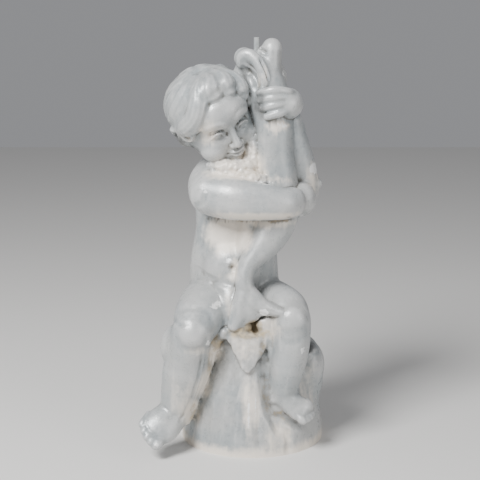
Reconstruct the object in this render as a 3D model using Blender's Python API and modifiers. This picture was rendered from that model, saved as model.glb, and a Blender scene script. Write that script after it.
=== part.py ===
"""A garden fountain statue: a seated child hugging a dolphin, cast in lead on a rocky mound."""

import math

import bmesh
import bpy
import numpy as np
from mathutils import Matrix, Vector

# Driving dimensions, in metres.
STATUE_HEIGHT = 0.62
PIPE_DIAMETER = 0.0085
PIPE_WALL = 0.0013
PIPE_LENGTH = 0.050
PIPE_X = 0.0056
PIPE_Y = -0.0130
PIPE_CLEARANCE = 0.0003
PIPE_SIDES = 32
SOCKET_OVERRUN = 0.010

# The figure is drawn in hundredths of the statue's height.
UNIT = STATUE_HEIGHT / 100
VOXEL = 0.36
STROKE_STEPS = 24
STATUE_TRIANGLES = 9300

BACK = Vector((0, 1, 0))
UP = Vector((0, 0, 1))
LEAD_GREY = (0.47, 0.49, 0.50, 1.0)
PIPE_GREY = (0.42, 0.44, 0.46, 1.0)


def ball(clay, centre, radii):
    """An ellipsoid of clay."""
    place = Matrix.Translation(Vector(centre)) @ Matrix.Diagonal((*radii, 1))
    bmesh.ops.create_uvsphere(clay, u_segments=28, v_segments=16, radius=1, matrix=place)


def spline(stations, steps):
    """Rows of numbers along a smooth curve through the stations."""
    rows = np.array(stations, float)
    ends = np.vstack([2 * rows[0] - rows[1], rows, 2 * rows[-1] - rows[-2]])
    out = []
    for i in range(len(rows) - 1):
        a, b, c, d = ends[i : i + 4]
        for t in np.arange(steps) / steps:
            out.append(0.5 * (2 * b + (c - a) * t + (2 * a - 5 * b + 4 * c - d) * t**2
                              + (3 * b - a - 3 * c + d) * t**3))
    out.append(rows[-1])
    return np.array(out)


def rounded_end(section, way):
    """Smaller and smaller sections beyond a section, so that the roll ends in a dome."""
    centre, along, across, depth, width, thick = section
    reach = min(width, thick)
    dome = []
    for degrees in (25, 50, 70, 84):
        a = math.radians(degrees)
        place = centre + along * way * reach * math.sin(a)
        dome.append((place, along, across, depth, width * math.cos(a), thick * math.cos(a)))
    return dome


def limb(clay, stations, facing=BACK, sides=20, steps=5):
    """A tapering roll of clay with round ends. A station is x, y, z, half width and half depth.
    The depth lies along facing."""
    rows = spline(stations, steps)
    path = [Vector(row[:3]) for row in rows]
    sections = []
    for i, row in enumerate(rows):
        along = (path[min(i + 1, len(path) - 1)] - path[max(i - 1, 0)]).normalized()
        depth = (facing - along * facing.dot(along)).normalized()
        sections.append((path[i], along, along.cross(depth), depth, row[3], row[4]))
    sections = rounded_end(sections[0], -1)[::-1] + sections + rounded_end(sections[-1], 1)
    rings = []
    for centre, along, across, depth, width, thick in sections:
        ring = []
        for k in range(sides):
            a = math.tau * k / sides
            ring.append(clay.verts.new(centre + across * width * math.cos(a) + depth * thick * math.sin(a)))
        rings.append(ring)
    for low, high in zip(rings, rings[1:]):
        for k in range(sides):
            n = (k + 1) % sides
            clay.faces.new((low[k], low[n], high[n], high[k]))
    clay.faces.new(rings[0][::-1])
    clay.faces.new(rings[-1])


def fused(name, meshes, voxel, relax, factor=0.5):
    """The meshes as one skin: remeshed in voxels, then relaxed."""
    joined = bmesh.new()
    for mesh in meshes:
        joined.from_mesh(mesh)
    bmesh.ops.recalc_face_normals(joined, faces=joined.faces)
    data = bpy.data.meshes.new(name)
    joined.to_mesh(data)
    joined.free()
    obj = bpy.data.objects.new(name, data)
    bpy.context.scene.collection.objects.link(obj)
    remesh = obj.modifiers.new("voxels", "REMESH")
    remesh.mode = "VOXEL"
    remesh.voxel_size = voxel
    if relax:
        smooth = obj.modifiers.new("relax", "SMOOTH")
        smooth.factor = factor
        smooth.iterations = relax
    graph = bpy.context.evaluated_depsgraph_get()
    result = bpy.data.meshes.new_from_object(obj.evaluated_get(graph))
    bpy.data.objects.remove(obj)
    return result


def clay_mesh(name, shapes):
    """One mesh of the shapes that a function adds to a lump of clay."""
    clay = bmesh.new()
    shapes(clay)
    bmesh.ops.recalc_face_normals(clay, faces=clay.faces)
    mesh = bpy.data.meshes.new(name)
    clay.to_mesh(mesh)
    clay.free()
    return mesh


def slab(clay, outline, depth):
    """A plate with the outline as its front, and its back that far behind."""
    front = [clay.verts.new(point) for point in outline]
    back = [clay.verts.new((x, y + depth, z)) for x, y, z in outline]
    clay.faces.new(front)
    clay.faces.new(back[::-1])
    for i in range(len(outline)):
        n = (i + 1) % len(outline)
        clay.faces.new((front[n], front[i], back[i], back[n]))


def vertex_numbers(mesh):
    """The places and the normals of a mesh's vertices, one to a row."""
    places = np.empty(len(mesh.vertices) * 3, np.float32)
    normals = np.empty(len(mesh.vertices) * 3, np.float32)
    mesh.vertices.foreach_get("co", places)
    mesh.vertex_normals.foreach_get("vector", normals)
    return places.reshape(-1, 3).astype(float), normals.reshape(-1, 3).astype(float)


def carve(mesh, strokes):
    """Grooves cut by drawing on the front or the back. A stroke is its x and z points, its depth, its half
    width and the side it is drawn on, -1 for the front. A depth below nothing raises a ridge."""
    for points, depth, width, side in strokes:
        places, normals = vertex_numbers(mesh)
        drawn = spline(points, STROKE_STEPS) if len(points) > 1 else np.array(points, float)
        nearest = np.full(len(places), np.inf)
        search = VOXEL * 5 / 3
        for x, z in drawn:
            flat = np.hypot(places[:, 0] - x, places[:, 2] - z)
            close = (flat < search) & (normals[:, 1] * side > 0)
            if not close.any():
                continue
            surface = side * (places[close, 1] * side).max()
            away = np.sqrt(flat**2 + (places[:, 1] - surface) ** 2)
            nearest = np.minimum(nearest, away)
        share = np.clip(1 - (nearest / width) ** 2, 0, None) ** 2
        places -= normals * (share * depth)[:, None]
        mesh.vertices.foreach_set("co", places.astype(np.float32).ravel())
        mesh.update()


# The mound

def mound(clay):
    limb(clay, [(0, 0, -3, 18.2, 18.2), (0, 0, 0, 17.9, 17.9), (0.1, 0.1, 4, 17.6, 17.4),
                (0.3, 0.5, 10, 16.6, 16.4),
                (0.4, 1, 16, 15.0, 15.2), (0, 1.6, 22, 13.2, 13.9), (-1.4, 2.4, 28, 12.0, 13.0),
                (-2.6, 3.2, 31, 11.2, 12.0)], sides=48)
    limb(clay, [(10.4, 3.0, 6, 6.0, 9.0), (12.4, 1.0, 13, 5.5, 8.4), (13.9, -0.8, 19.6, 4.4, 6.2),
                (13.0, -0.4, 22.6, 3.0, 4.4)])
    limb(clay, [(8.0, 8.0, 3, 8.0, 7.4), (8.4, 8.0, 11, 8.0, 7.4), (6.0, 7.0, 21, 7.0, 7.4)])
    limb(clay, [(-10.0, 6.0, 4, 6.4, 8.4), (-10.0, 6.6, 13, 6.0, 7.6), (-9.6, 5.4, 24, 4.6, 6.6)])


def ledges(clay):
    """The pointed ledge of rock below the fin, the block beside it, and the web inside the shin."""
    slab(clay, [(-6.3, -12.2, 30.2), (-1.6, -13.4, 30.4), (3.8, -12.4, 28.4), (1.2, -13.4, 24),
                (-1.4, -14.0, 20.0), (-3.6, -13.6, 24.2)], 7)
    slab(clay, [(0.6, -12.6, 32.6), (3.4, -13.2, 33.6), (7.2, -13.0, 33.4), (7.2, -12.6, 29.2),
                (2.4, -13.0, 29.0)], 6)
    slab(clay, [(-7.2, -10.4, 28.4), (-10.8, -12.4, 25.5), (-13.6, -13.6, 16.5), (-17.6, -13.2, 6.2),
                (-15.4, -11.6, 6.0), (-11.4, -11.4, 16.5), (-8.4, -10.8, 24.8)], 5)
    limb(clay, [(0.6, -9.5, 22, 1.4, 3.0), (-0.2, -12.0, 14, 1.0, 2.6), (-0.6, -14.4, 5, 0.8, 2.4)])


# The child

def torso(clay):
    limb(clay, [(-4.2, 3.2, 33, 11.8, 9), (-4.6, 2.9, 39, 11.4, 9.4), (-4.5, 1.2, 46, 10.8, 8.4),
                (-4.1, 1.2, 53, 10.0, 7.6), (-3.9, 2.4, 60, 10.2, 7.6), (-3.6, 2.6, 65, 8.6, 6.4),
                (-3.4, 2, 68.5, 5.4, 4.6)], sides=32)
    ball(clay, (-4.8, -2.0, 44.5), (8.0, 7.2, 8.2))
    ball(clay, (-9.6, 5.4, 35.0), (6.6, 7.4, 6.6))
    ball(clay, (1.2, 5.6, 35.0), (6.6, 7.4, 6.6))
    ball(clay, (-9.0, 3.4, 62.0), (4.2, 4.4, 4.6))
    ball(clay, (2.2, 3.8, 62.0), (4.2, 4.4, 4.6))


def right_leg(clay):
    limb(clay, [(-9.5, 2, 35, 7.0, 6.6), (-11.2, -4, 34.6, 7.2, 6.6), (-13.0, -10, 33, 6.4, 5.9),
                (-14.2, -13.5, 31, 5.2, 5.2)], facing=UP)
    limb(clay, [(-14.6, -13.5, 30.5, 4.9, 5.0), (-15.6, -12.2, 25, 5.2, 5.2), (-16.5, -11.6, 20, 5.5, 5.4),
                (-17.8, -11.8, 15, 4.7, 4.6), (-19.0, -12.4, 11, 3.7, 3.8)])
    ball(clay, (-14.4, -16.0, 30.4), (3.5, 3.2, 3.6))
    ball(clay, (-18.6, -10.4, 26.0), (4.0, 4.4, 5.4))
    ball(clay, (-14.2, -9, 20), (3.8, 4.6, 7))
    ball(clay, (-8.8, -7.6, 28.6), (2.6, 3.6, 3.0))


def left_leg(clay):
    limb(clay, [(2.6, 2.5, 34.2, 6.6, 6.2), (5.2, -3, 34.6, 6.3, 6.0), (8.0, -8, 34.5, 5.5, 5.4),
                (9.3, -11, 33.2, 4.8, 4.9)], facing=UP)
    limb(clay, [(9.4, -11.5, 32.4, 4.8, 4.8), (9.3, -11.9, 27, 4.6, 4.7), (8.6, -11.7, 22, 4.4, 4.6),
                (7.8, -11.2, 17, 3.8, 4.0), (7.4, -10.9, 14, 3.6, 3.6)])
    ball(clay, (9.4, -14.6, 33.0), (2.9, 2.4, 3.2))
    ball(clay, (8.4, -8.4, 23), (3.8, 4.0, 6.0))


def toes(clay, big, little, along, sizes):
    """Five toes with their tips in a curved row from the big one to the little one."""
    for i, (size, length) in enumerate(sizes):
        tip = big.lerp(little, i / 4) + along * 0.8 * math.sin(math.pi * i / 4)
        root = tip - along * length + Vector((0, 0, 0.5))
        middle = root.lerp(tip, 0.55)
        limb(clay, [(*root, size, size), (*middle, size * 0.88, size * 0.82), (*tip, size, size * 0.9)],
             facing=UP, sides=12, steps=3)


def right_foot(clay):
    along = Vector((-6.0, -8.6, -4.4)).normalized()
    sole = along.cross(Vector((-3.4, 2.2, 3.6))).normalized()
    limb(clay, [(-17.6, -10.6, 9.4, 3.4, 3.4), (-19.8, -13.2, 9.0, 4.1, 3.3), (-22.0, -15.8, 7.6, 4.6, 2.6),
                (-23.6, -17.2, 6.6, 4.2, 1.9)], facing=sole)
    ball(clay, (-17.0, -10.4, 7.4), (3.0, 3.4, 3.0))
    toes(clay, Vector((-23.3, -19.8, 3.9)), Vector((-26.9, -17.0, 8.2)), along,
         [(1.25, 4.6), (0.95, 4.0), (0.88, 3.6), (0.82, 3.2), (0.78, 2.8)])


def left_foot(clay):
    along = Vector((5.6, -3.6, -4.0)).normalized()
    sole = along.cross(Vector((2.4, 2.0, 1.6))).normalized()
    limb(clay, [(7.0, -10.8, 13.8, 3.2, 3.2), (8.9, -12.0, 12.6, 3.1, 2.7), (10.8, -13.2, 11.2, 3.0, 2.1),
                (12.0, -14.0, 10.3, 2.9, 1.7)], facing=sole)
    ball(clay, (6.6, -10.6, 13.0), (2.6, 3.0, 2.4))
    toes(clay, Vector((12.3, -15.8, 8.7)), Vector((15.2, -11.6, 11.0)), along,
         [(1.1, 3.4), (0.82, 3.0), (0.76, 2.8), (0.72, 2.6), (0.68, 2.4)])


def right_arm(clay):
    limb(clay, [(-9.6, 1.5, 66.4, 4.9, 4.9), (-10.5, -3.5, 64.8, 5.2, 5.2), (-10.3, -8, 63.2, 5.1, 5.1)],
         facing=UP)
    limb(clay, [(-9.8, -8.2, 63.0, 5.2, 5.1), (-4.5, -11, 62.4, 5.2, 4.5), (2, -12, 61.8, 4.5, 3.8),
                (7, -11.6, 61.3, 3.9, 3.3), (9.6, -9.8, 61.3, 3.8, 3.0)])
    for i in range(4):
        z = 63.9 - 1.75 * i
        limb(clay, [(8.8, -10.4, z, 1.3, 1.4), (10.9, -8.2, z, 1.2, 1.3), (11.5, -4.8, z + 0.2, 1.1, 1.1)],
             sides=12)


def left_arm(clay):
    limb(clay, [(3.5, 3, 66, 5.2, 5.2), (8.5, 3, 63.8, 4.4, 4.6), (12.2, 1.6, 62.4, 4.0, 4.0)])
    limb(clay, [(12.6, 1.2, 62.8, 4.0, 4.0), (11.6, 0.2, 69, 3.9, 4.0), (10.2, -1.0, 75, 3.4, 3.6),
                (9.4, -1.8, 79.8, 2.9, 3.0)])
    limb(clay, [(9.4, -1.6, 67, 2.8, 3.2), (8.4, -2.4, 74, 2.6, 3.4), (7.6, -2.8, 80, 2.2, 3.0)])
    limb(clay, [(13.0, 1.6, 63.6, 2.8, 2.8), (16.2, 2.2, 64.6, 1.3, 1.3)])


def neck(clay):
    limb(clay, [(-3.8, 2.5, 66, 5.4, 5.4), (-6.0, 0.5, 72, 4.8, 4.8), (-7.5, -1, 77, 4.8, 4.8)])
    ball(clay, (-1.0, -2.0, 70.5), (5.6, 3.6, 4.0))
    limb(clay, [(-1.0, 0.0, 72, 3.6, 3.0), (-0.6, -0.6, 79, 3.2, 2.8), (-1.2, -0.4, 88, 3.4, 3.2)])


# The head is drawn upright about its own centre, with the face towards -Y, then tilted into place

HEAD_CENTRE = Vector((-9.6, -2.6, 82.2))
HEAD_TURN = (20, -24, 22)
HAIR_CENTRE = Vector((0, 2.0, 1.2))
HAIR_RADII = Vector((9.7, 10.6, 9.6))
LOCK_SINK = 0.975


def head_matrix():
    pitch, roll, yaw = (math.radians(a) for a in HEAD_TURN)
    turned = Matrix.Rotation(yaw, 4, "Z") @ Matrix.Rotation(roll, 4, "Y") @ Matrix.Rotation(pitch, 4, "X")
    return Matrix.Translation(HEAD_CENTRE) @ turned


def skull(clay):
    ball(clay, (0, 1.6, 1.0), (9.0, 10.2, 8.8))
    ball(clay, (0, -2.6, -3.4), (8.2, 7.0, 8.0))
    ball(clay, (0, -4.4, 2.4), (7.2, 5.6, 5.6))
    ball(clay, (0, -4.6, -7.6), (5.4, 4.6, 4.0))
    for side in (-1, 1):
        ball(clay, (side * 4.2, -5.9, -5.4), (3.7, 3.3, 3.4))
        ball(clay, (side * 8.6, -0.2, -2.6), (1.1, 2.0, 2.7))
        ball(clay, (side * 3.25, -7.9, -1.3), (1.75, 1.5, 1.25))
        ball(clay, (side * 1.05, -9.7, -4.3), (0.85, 0.9, 0.75))
    ball(clay, (0, -7.9, -10.0), (2.3, 1.9, 1.7))
    ball(clay, (0, -8.2, -7.0), (2.7, 1.6, 1.9))
    limb(clay, [(0, -8.6, 0.4, 0.8, 0.8), (0, -9.4, -2.2, 0.9, 1.0), (0, -10.3, -4.0, 1.15, 1.0)])
    limb(clay, [(-1.7, -9.1, -6.55, 0.4, 0.5), (0, -9.8, -6.35, 0.6, 0.55), (1.7, -9.1, -6.55, 0.4, 0.5)],
         sides=10)
    limb(clay, [(-1.2, -9.1, -7.5, 0.45, 0.5), (0, -9.5, -7.7, 0.7, 0.6), (1.2, -9.1, -7.5, 0.45, 0.5)],
         sides=10)


def face_strokes():
    """The lines of a calm child's face, with lowered lids and closed lips."""
    strokes = [([(-1.9, -6.9), (-0.7, -7.0), (0, -6.9), (0.7, -7.0), (1.9, -6.9)], 0.4, 0.6, -1),
               ([(-1.4, -8.6), (0, -8.9), (1.4, -8.6)], 0.3, 1.0, -1)]
    for side in (-1, 1):
        strokes += [([(side * 1.7, -1.7), (side * 3.2, -2.0), (side * 4.7, -1.3)], 0.45, 0.6, -1),
                    ([(side * 1.6, -0.6), (side * 3.1, 0.3), (side * 4.8, -0.4)], 0.35, 0.6, -1),
                    ([(side * 1.3, 1.7), (side * 3.4, 2.4), (side * 5.2, 1.5)], -0.3, 1.0, -1),
                    ([(side * 2.3, -4.6), (side * 2.2, -6.2)], 0.2, 0.9, -1)]
    return strokes


def on_hair(around, above):
    """A point on the hair: degrees around from the face, towards its left, and degrees above the ears."""
    around, above = math.radians(around), math.radians(above)
    way = Vector((math.sin(around) * math.cos(above), -math.cos(around) * math.cos(above), math.sin(above)))
    return HAIR_CENTRE + way * HAIR_RADII * LOCK_SINK


def lock(clay, turns, width, thick):
    """A lock of hair that lies along degrees around and above."""
    points = [on_hair(around, above) for around, above in turns]
    facing = points[len(points) // 2] - HAIR_CENTRE
    shares = [0.7] + [1.0] * (len(points) - 2) + [0.5]
    limb(clay, [(*p, width * k, thick * k) for p, k in zip(points, shares)], facing=facing, sides=12, steps=4)


# Locks on both sides of the head: degrees around and above, then half width and half depth.
PAIRED_LOCKS = [
    ([(10, 44), (26, 35), (44, 24), (58, 8), (66, -6)], 2.0, 1.3),
    ([(6, 60), (38, 46), (62, 28), (76, 8), (84, -10)], 2.2, 1.1),
    ([(60, 2), (68, -16), (78, -22), (84, -10)], 1.5, 1.6),
    ([(88, 2), (96, -18), (102, -34), (92, -42)], 1.7, 1.6),
    ([(84, 44), (100, 18), (108, -10), (118, -36)], 2.2, 1.1),
    ([(110, 50), (128, 18), (134, -14), (138, -40)], 2.2, 1.1),
    ([(150, 54), (158, 20), (160, -14), (164, -44)], 2.2, 1.1),
]


def hair(clay):
    ball(clay, HAIR_CENTRE + Vector((0, 0.7, 0.3)), HAIR_RADII - Vector((0.5, 0.5, 0.5)))
    ball(clay, (0, 6.4, -3.0), (7.6, 4.8, 6.0))
    for turns, width, thick in PAIRED_LOCKS:
        for side in (-1, 1):
            lock(clay, [(side * around, above) for around, above in turns], width, thick)
    lock(clay, [(-20, 38), (-6, 31), (8, 30), (24, 30), (36, 20)], 1.7, 1.5)
    lock(clay, [(-96, -14), (-100, -30), (-112, -42), (-124, -38)], 2.6, 2.6)


# The dolphin

def dolphin(clay):
    limb(clay, [(2.9, -3.0, 91.6, 4.8, 4.2), (3.8, -3.4, 86, 5.0, 4.4), (5.0, -3.8, 79, 4.9, 4.4),
                (5.2, -4.2, 72, 4.8, 4.5), (6.2, -5, 65, 4.9, 4.6), (6.9, -6.2, 58.5, 4.8, 4.4),
                (4.9, -7.6, 53, 4.4, 4.0), (1.4, -8.8, 48.6, 3.8, 3.6), (-1.0, -9.6, 44, 3.3, 3.2),
                (-1.4, -10.2, 40, 3.2, 2.8), (-1.0, -11, 36.5, 3.4, 2.4)])
    limb(clay, [(5.0, -2.8, 88, 3.8, 3.8), (5.2, -2.4, 94, 2.7, 3.2), (4.9, -2.2, 97.2, 2.4, 3.0)])
    limb(clay, [(3.2, -2.5, 87, 4.0, 3.8), (0.6, -2.2, 92.0, 2.9, 3.4), (-2.0, -2.0, 95.1, 2.6, 3.2)])
    ball(clay, (-0.6, 0.2, 87.8), (4.2, 3.4, 4.6))
    ball(clay, (-2.4, -0.6, 91.6), (2.4, 2.6, 3.0))


def tail_fin(clay):
    limb(clay, [(-0.4, -10.8, 41, 3.2, 2.6), (3.2, -13.0, 37.8, 2.5, 2.0), (7.4, -15.0, 35.6, 1.3, 1.1)])
    limb(clay, [(-1.4, -11.0, 40, 2.8, 2.2), (-3.2, -13.0, 35.0, 2.6, 1.7), (-5.2, -13.8, 31.4, 1.3, 1.0)])
    slab(clay, [(2.2, -11.6, 40.5), (5.0, -12.6, 38.2), (7.8, -14.2, 36.4), (8.6, -14.6, 35.0),
                (7.0, -14.4, 34.2), (2.9, -13.8, 34.4), (0.8, -13.6, 34.2), (-0.6, -13.6, 32.6),
                (-3.2, -13.4, 30.9), (-6.2, -13.2, 30.0), (-5.0, -12.8, 33.0), (-3.8, -12.2, 36.0),
                (-3.4, -11.6, 39.0)], 2.4)
    ball(clay, (0.6, -13.0, 36.2), (4.6, 1.6, 3.8))


def left_hand(clay):
    """The hand is wrapped round the dolphin's neck, with four fingers in front and the thumb behind."""
    middle = Vector((5.0, -3.6, 0))
    ball(clay, (8.8, -2.8, 83.2), (3.1, 3.6, 3.6))
    for i in range(4):
        tip = 87.9 - 1.95 * i
        path = []
        for step in range(6):
            share = step / 5
            angle = math.radians(14 - 146 * share)
            reach = 5.7 - 0.5 * abs(tip - 85) / 3 * (1 - share)
            place = middle + Vector((math.cos(angle) * reach, math.sin(angle) * (reach - 0.3), 0))
            height = 84.6 + (tip - 84.6) * (0.35 + 0.65 * math.sin(math.radians(90 * min(1, 1.5 * share))))
            size = 1.25 - 0.2 * share
            path.append((place.x, place.y, height, size, size))
        limb(clay, path, facing=UP, sides=12, steps=3)
    limb(clay, [(8.0, -1.0, 84, 1.8, 1.8), (6.9, 0.6, 88, 1.3, 1.5), (6.9, 0.8, 91, 1.4, 1.5),
                (6.2, 0.8, 92.6, 1.2, 1.2)])


def body_strokes():
    return [([(-5.0, 45.2)], 1.0, 1.1, -1),
            ([(-13.0, 39.6), (-9.0, 38.4), (-5.0, 38.0)], 0.45, 1.3, -1),
            ([(-18.6, 34.6), (-15.5, 35.2), (-12.6, 34.8)], 0.35, 1.0, -1),
            ([(-18.4, 31.0), (-17.6, 27.6), (-14.6, 26.4), (-11.6, 27.8)], 0.5, 1.2, -1),
            ([(-12.4, 26.0), (-13.4, 20.0), (-15.8, 12.0)], 0.4, 1.0, -1),
            ([(3.2, 19.0), (3.4, 13.0), (4.6, 8.0)], 0.8, 1.5, -1),
            ([(2.6, 37.8), (3.4, 36.0), (3.2, 34.6)], 0.3, 0.9, -1),
            ([(-1.0, 38.0), (-2.4, 34.6), (-3.8, 31.6)], 0.3, 0.9, -1),
            ([(-3.6, 64.0), (-4.0, 56.0), (-4.2, 46.0), (-4.2, 38.4)], 0.9, 2.2, 1),
            ([(-4.2, 37.0), (-4.2, 33.0), (-4.2, 30.6)], 0.9, 1.4, 1),
            ([(-9.6, 62.5), (-7.2, 60.0), (-7.4, 56.6)], 0.35, 1.3, 1),
            ([(2.2, 62.5), (-0.4, 60.0), (-0.4, 56.6)], 0.35, 1.3, 1)]


def toe_strokes():
    """The lines between the toes, from the tips to the instep."""
    strokes = []
    for gap in (0.17, 0.40, 0.63, 0.86):
        x, z = -23.3 - 3.6 * gap, 3.9 + 4.3 * gap
        strokes.append(([(x - 0.5, z - 0.4), (x + 1.0, z + 0.8), (x + 2.2, z + 1.8)], 0.55, 0.55, -1))
        x, z = 12.3 + 2.9 * gap, 8.7 + 2.3 * gap
        strokes.append(([(x + 0.5, z - 0.4), (x - 0.8, z + 0.5), (x - 1.8, z + 1.3)], 0.45, 0.5, -1))
    return strokes


def statue_mesh():
    body = fused("body", [clay_mesh("b", f) for f in (torso, right_leg, left_leg, neck)], 0.5, 10)
    feet = fused("feet", [clay_mesh("t", f) for f in (right_foot, left_foot)], 0.35, 2)
    arms = fused("arms", [clay_mesh("a", f) for f in (right_arm, left_arm)], 0.5, 8)
    fish = fused("fish", [clay_mesh("f", f) for f in (dolphin, tail_fin)], 0.45, 6)
    rock = fused("rock", [fused("m", [clay_mesh("m", mound)], 0.6, 8), clay_mesh("l", ledges)], 0.5, 2)
    head = clay_mesh("skull", skull)
    cap = clay_mesh("hair", hair)
    head = fused("head", [head, cap], 0.3, 4)
    carve(head, face_strokes())
    head.transform(head_matrix())
    hand = fused("hand", [clay_mesh("h", left_hand)], 0.35, 2)
    whole = fused("whole", [body, arms, feet, fish, rock, head, hand], VOXEL, 2)
    carve(whole, body_strokes() + toe_strokes())
    return whole


def flat_foot(mesh):
    """Scaled to metres, and cut off flat at the ground."""
    mesh.transform(Matrix.Scale(UNIT, 4))
    cut = bmesh.new()
    cut.from_mesh(mesh)
    everything = cut.verts[:] + cut.edges[:] + cut.faces[:]
    made = bmesh.ops.bisect_plane(cut, geom=everything, plane_co=(0, 0, 0), plane_no=(0, 0, 1),
                                  clear_inner=True)
    rim = [edge for edge in made["geom_cut"] if isinstance(edge, bmesh.types.BMEdge)]
    bmesh.ops.contextual_create(cut, geom=rim)
    bmesh.ops.recalc_face_normals(cut, faces=cut.faces)
    cut.to_mesh(mesh)
    cut.free()


def fewer_triangles(mesh, wanted):
    obj = bpy.data.objects.new("coarse", mesh)
    bpy.context.scene.collection.objects.link(obj)
    decimate = obj.modifiers.new("fewer", "DECIMATE")
    decimate.ratio = wanted / (2 * len(mesh.polygons))
    graph = bpy.context.evaluated_depsgraph_get()
    small = bpy.data.meshes.new_from_object(obj.evaluated_get(graph))
    bpy.data.objects.remove(obj)
    return small


def named_object(name, mesh, colour, roughness, metallic, collection):
    """The mesh as an object of the collection, with a material of its own."""
    material = bpy.data.materials.new(name + "_metal")
    material.use_nodes = True
    shader = material.node_tree.nodes["Principled BSDF"]
    shader.inputs["Base Color"].default_value = colour
    shader.inputs["Roughness"].default_value = roughness
    shader.inputs["Metallic"].default_value = metallic
    mesh.materials.clear()
    mesh.materials.append(material)
    mesh.name = name
    obj = bpy.data.objects.new(name, mesh)
    collection.objects.link(obj)
    return obj


def make_pipe(collection):
    """The pipe is its wall's outline, turned round the pipe's axis."""
    outer = PIPE_DIAMETER / 2
    inner = outer - PIPE_WALL
    wall = bmesh.new()
    corners = [(outer, 0), (outer, -PIPE_LENGTH), (inner, -PIPE_LENGTH), (inner, 0)]
    points = [wall.verts.new((radius, 0, height)) for radius, height in corners]
    for i in range(len(points)):
        wall.edges.new((points[i], points[(i + 1) % len(points)]))
    mesh = bpy.data.meshes.new("wall")
    wall.to_mesh(mesh)
    wall.free()
    pipe = named_object("spout_pipe", mesh, PIPE_GREY, 0.5, 0.6, collection)
    pipe.location = (PIPE_X, PIPE_Y, STATUE_HEIGHT)
    turn = pipe.modifiers.new("turn", "SCREW")
    turn.angle = math.tau
    turn.steps = PIPE_SIDES
    turn.render_steps = PIPE_SIDES
    turn.use_merge_vertices = True
    turn.merge_threshold = 0.00001
    return pipe


def pipe_socket(cutters):
    """The bore in the dolphin's mouth that the pipe stands in, as a cutter."""
    radius = PIPE_DIAMETER / 2 + PIPE_CLEARANCE
    foot = STATUE_HEIGHT - PIPE_LENGTH - PIPE_CLEARANCE
    height = PIPE_LENGTH + SOCKET_OVERRUN
    bore = bmesh.new()
    middle = Matrix.Translation((PIPE_X, PIPE_Y, foot + height / 2))
    bmesh.ops.create_cone(bore, cap_ends=True, segments=PIPE_SIDES, radius1=radius, radius2=radius,
                          depth=height, matrix=middle)
    mesh = bpy.data.meshes.new("pipe_socket")
    bore.to_mesh(mesh)
    bore.free()
    cutter = bpy.data.objects.new("pipe_socket", mesh)
    cutter.hide_render = True
    cutter.display_type = "WIRE"
    cutters.objects.link(cutter)
    return cutter


def make_statue(collection, cutter):
    small = fewer_triangles(statue_mesh(), STATUE_TRIANGLES)
    flat_foot(small)
    statue = named_object("statue", small, LEAD_GREY, 0.55, 0.35, collection)
    bore = statue.modifiers.new("bore", "BOOLEAN")
    bore.operation = "DIFFERENCE"
    bore.solver = "EXACT"
    bore.object = cutter
    bpy.context.view_layer.objects.active = statue
    bpy.ops.object.modifier_apply(modifier=bore.name)
    return statue


def main():
    for obj in list(bpy.data.objects):
        bpy.data.objects.remove(obj)
    collection = bpy.data.collections.new("fountain_statue")
    cutters = bpy.data.collections.new("cutters")
    bpy.context.scene.collection.children.link(collection)
    bpy.context.scene.collection.children.link(cutters)
    make_statue(collection, pipe_socket(cutters))
    make_pipe(collection)


main()
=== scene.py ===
import math
import bpy
import numpy as np
from mathutils import Matrix, Vector, noise
from mathutils.bvhtree import BVHTree


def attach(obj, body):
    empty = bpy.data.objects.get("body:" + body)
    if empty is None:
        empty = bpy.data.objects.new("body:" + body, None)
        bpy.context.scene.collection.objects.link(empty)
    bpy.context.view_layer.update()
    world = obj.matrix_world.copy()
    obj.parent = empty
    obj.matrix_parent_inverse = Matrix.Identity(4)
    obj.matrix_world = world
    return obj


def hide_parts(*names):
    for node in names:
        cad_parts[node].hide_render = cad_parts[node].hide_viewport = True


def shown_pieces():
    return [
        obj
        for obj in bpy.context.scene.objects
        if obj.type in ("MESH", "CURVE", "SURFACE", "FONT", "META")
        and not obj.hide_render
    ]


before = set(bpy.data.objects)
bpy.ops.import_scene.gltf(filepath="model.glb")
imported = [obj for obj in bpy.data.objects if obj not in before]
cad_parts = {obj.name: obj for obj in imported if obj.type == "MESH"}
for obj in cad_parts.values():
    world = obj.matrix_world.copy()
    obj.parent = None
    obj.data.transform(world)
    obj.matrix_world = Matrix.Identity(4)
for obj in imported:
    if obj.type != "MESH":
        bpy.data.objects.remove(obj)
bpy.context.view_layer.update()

back = Vector((0, 1, 0))
up = Vector((0, 0, 1))

# the figure is drawn in hundredths of the statue's height
statue = {
    "unit": 0.0062,
    "voxel": 0.19,
    "quickVoxel": 0.34,
    "triangles": 190000,
    "relax": 2,
    "creaseAngle": 62,
}


# how a carving tool moves: its steps, the softness of a stroke's ends and the steepest skin that it cuts
tool = {
    "leastSteps": 8,
    "stepsPerWidth": 8,
    "endPressure": 0.25,
    "pressureRise": 5,
    "startsBack": 80,
    "steepest": 0.25,
}


def deselectAll():
    bpy.ops.object.select_all(action="DESELECT")


def ball(centre, radii):
    bpy.ops.mesh.primitive_uv_sphere_add(segments=36, ring_count=24, radius=1, location=centre)
    bpy.context.object.scale = radii
    return bpy.context.object


def smoothRows(stations, steps):
    # rows of numbers on a smooth curve through the stations
    rows = np.array(stations, float)
    ends = np.vstack([2 * rows[0] - rows[1], rows, 2 * rows[-1] - rows[-2]])
    found = []
    for i in range(len(rows) - 1):
        a, b, c, d = ends[i:i + 4]
        for t in np.arange(steps) / steps:
            found.append(0.5 * (2 * b + (c - a) * t + (2 * a - 5 * b + 4 * c - d) * t ** 2
                                + (3 * b - a - 3 * c + d) * t ** 3))
    found.append(rows[-1])
    return np.array(found)


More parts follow.
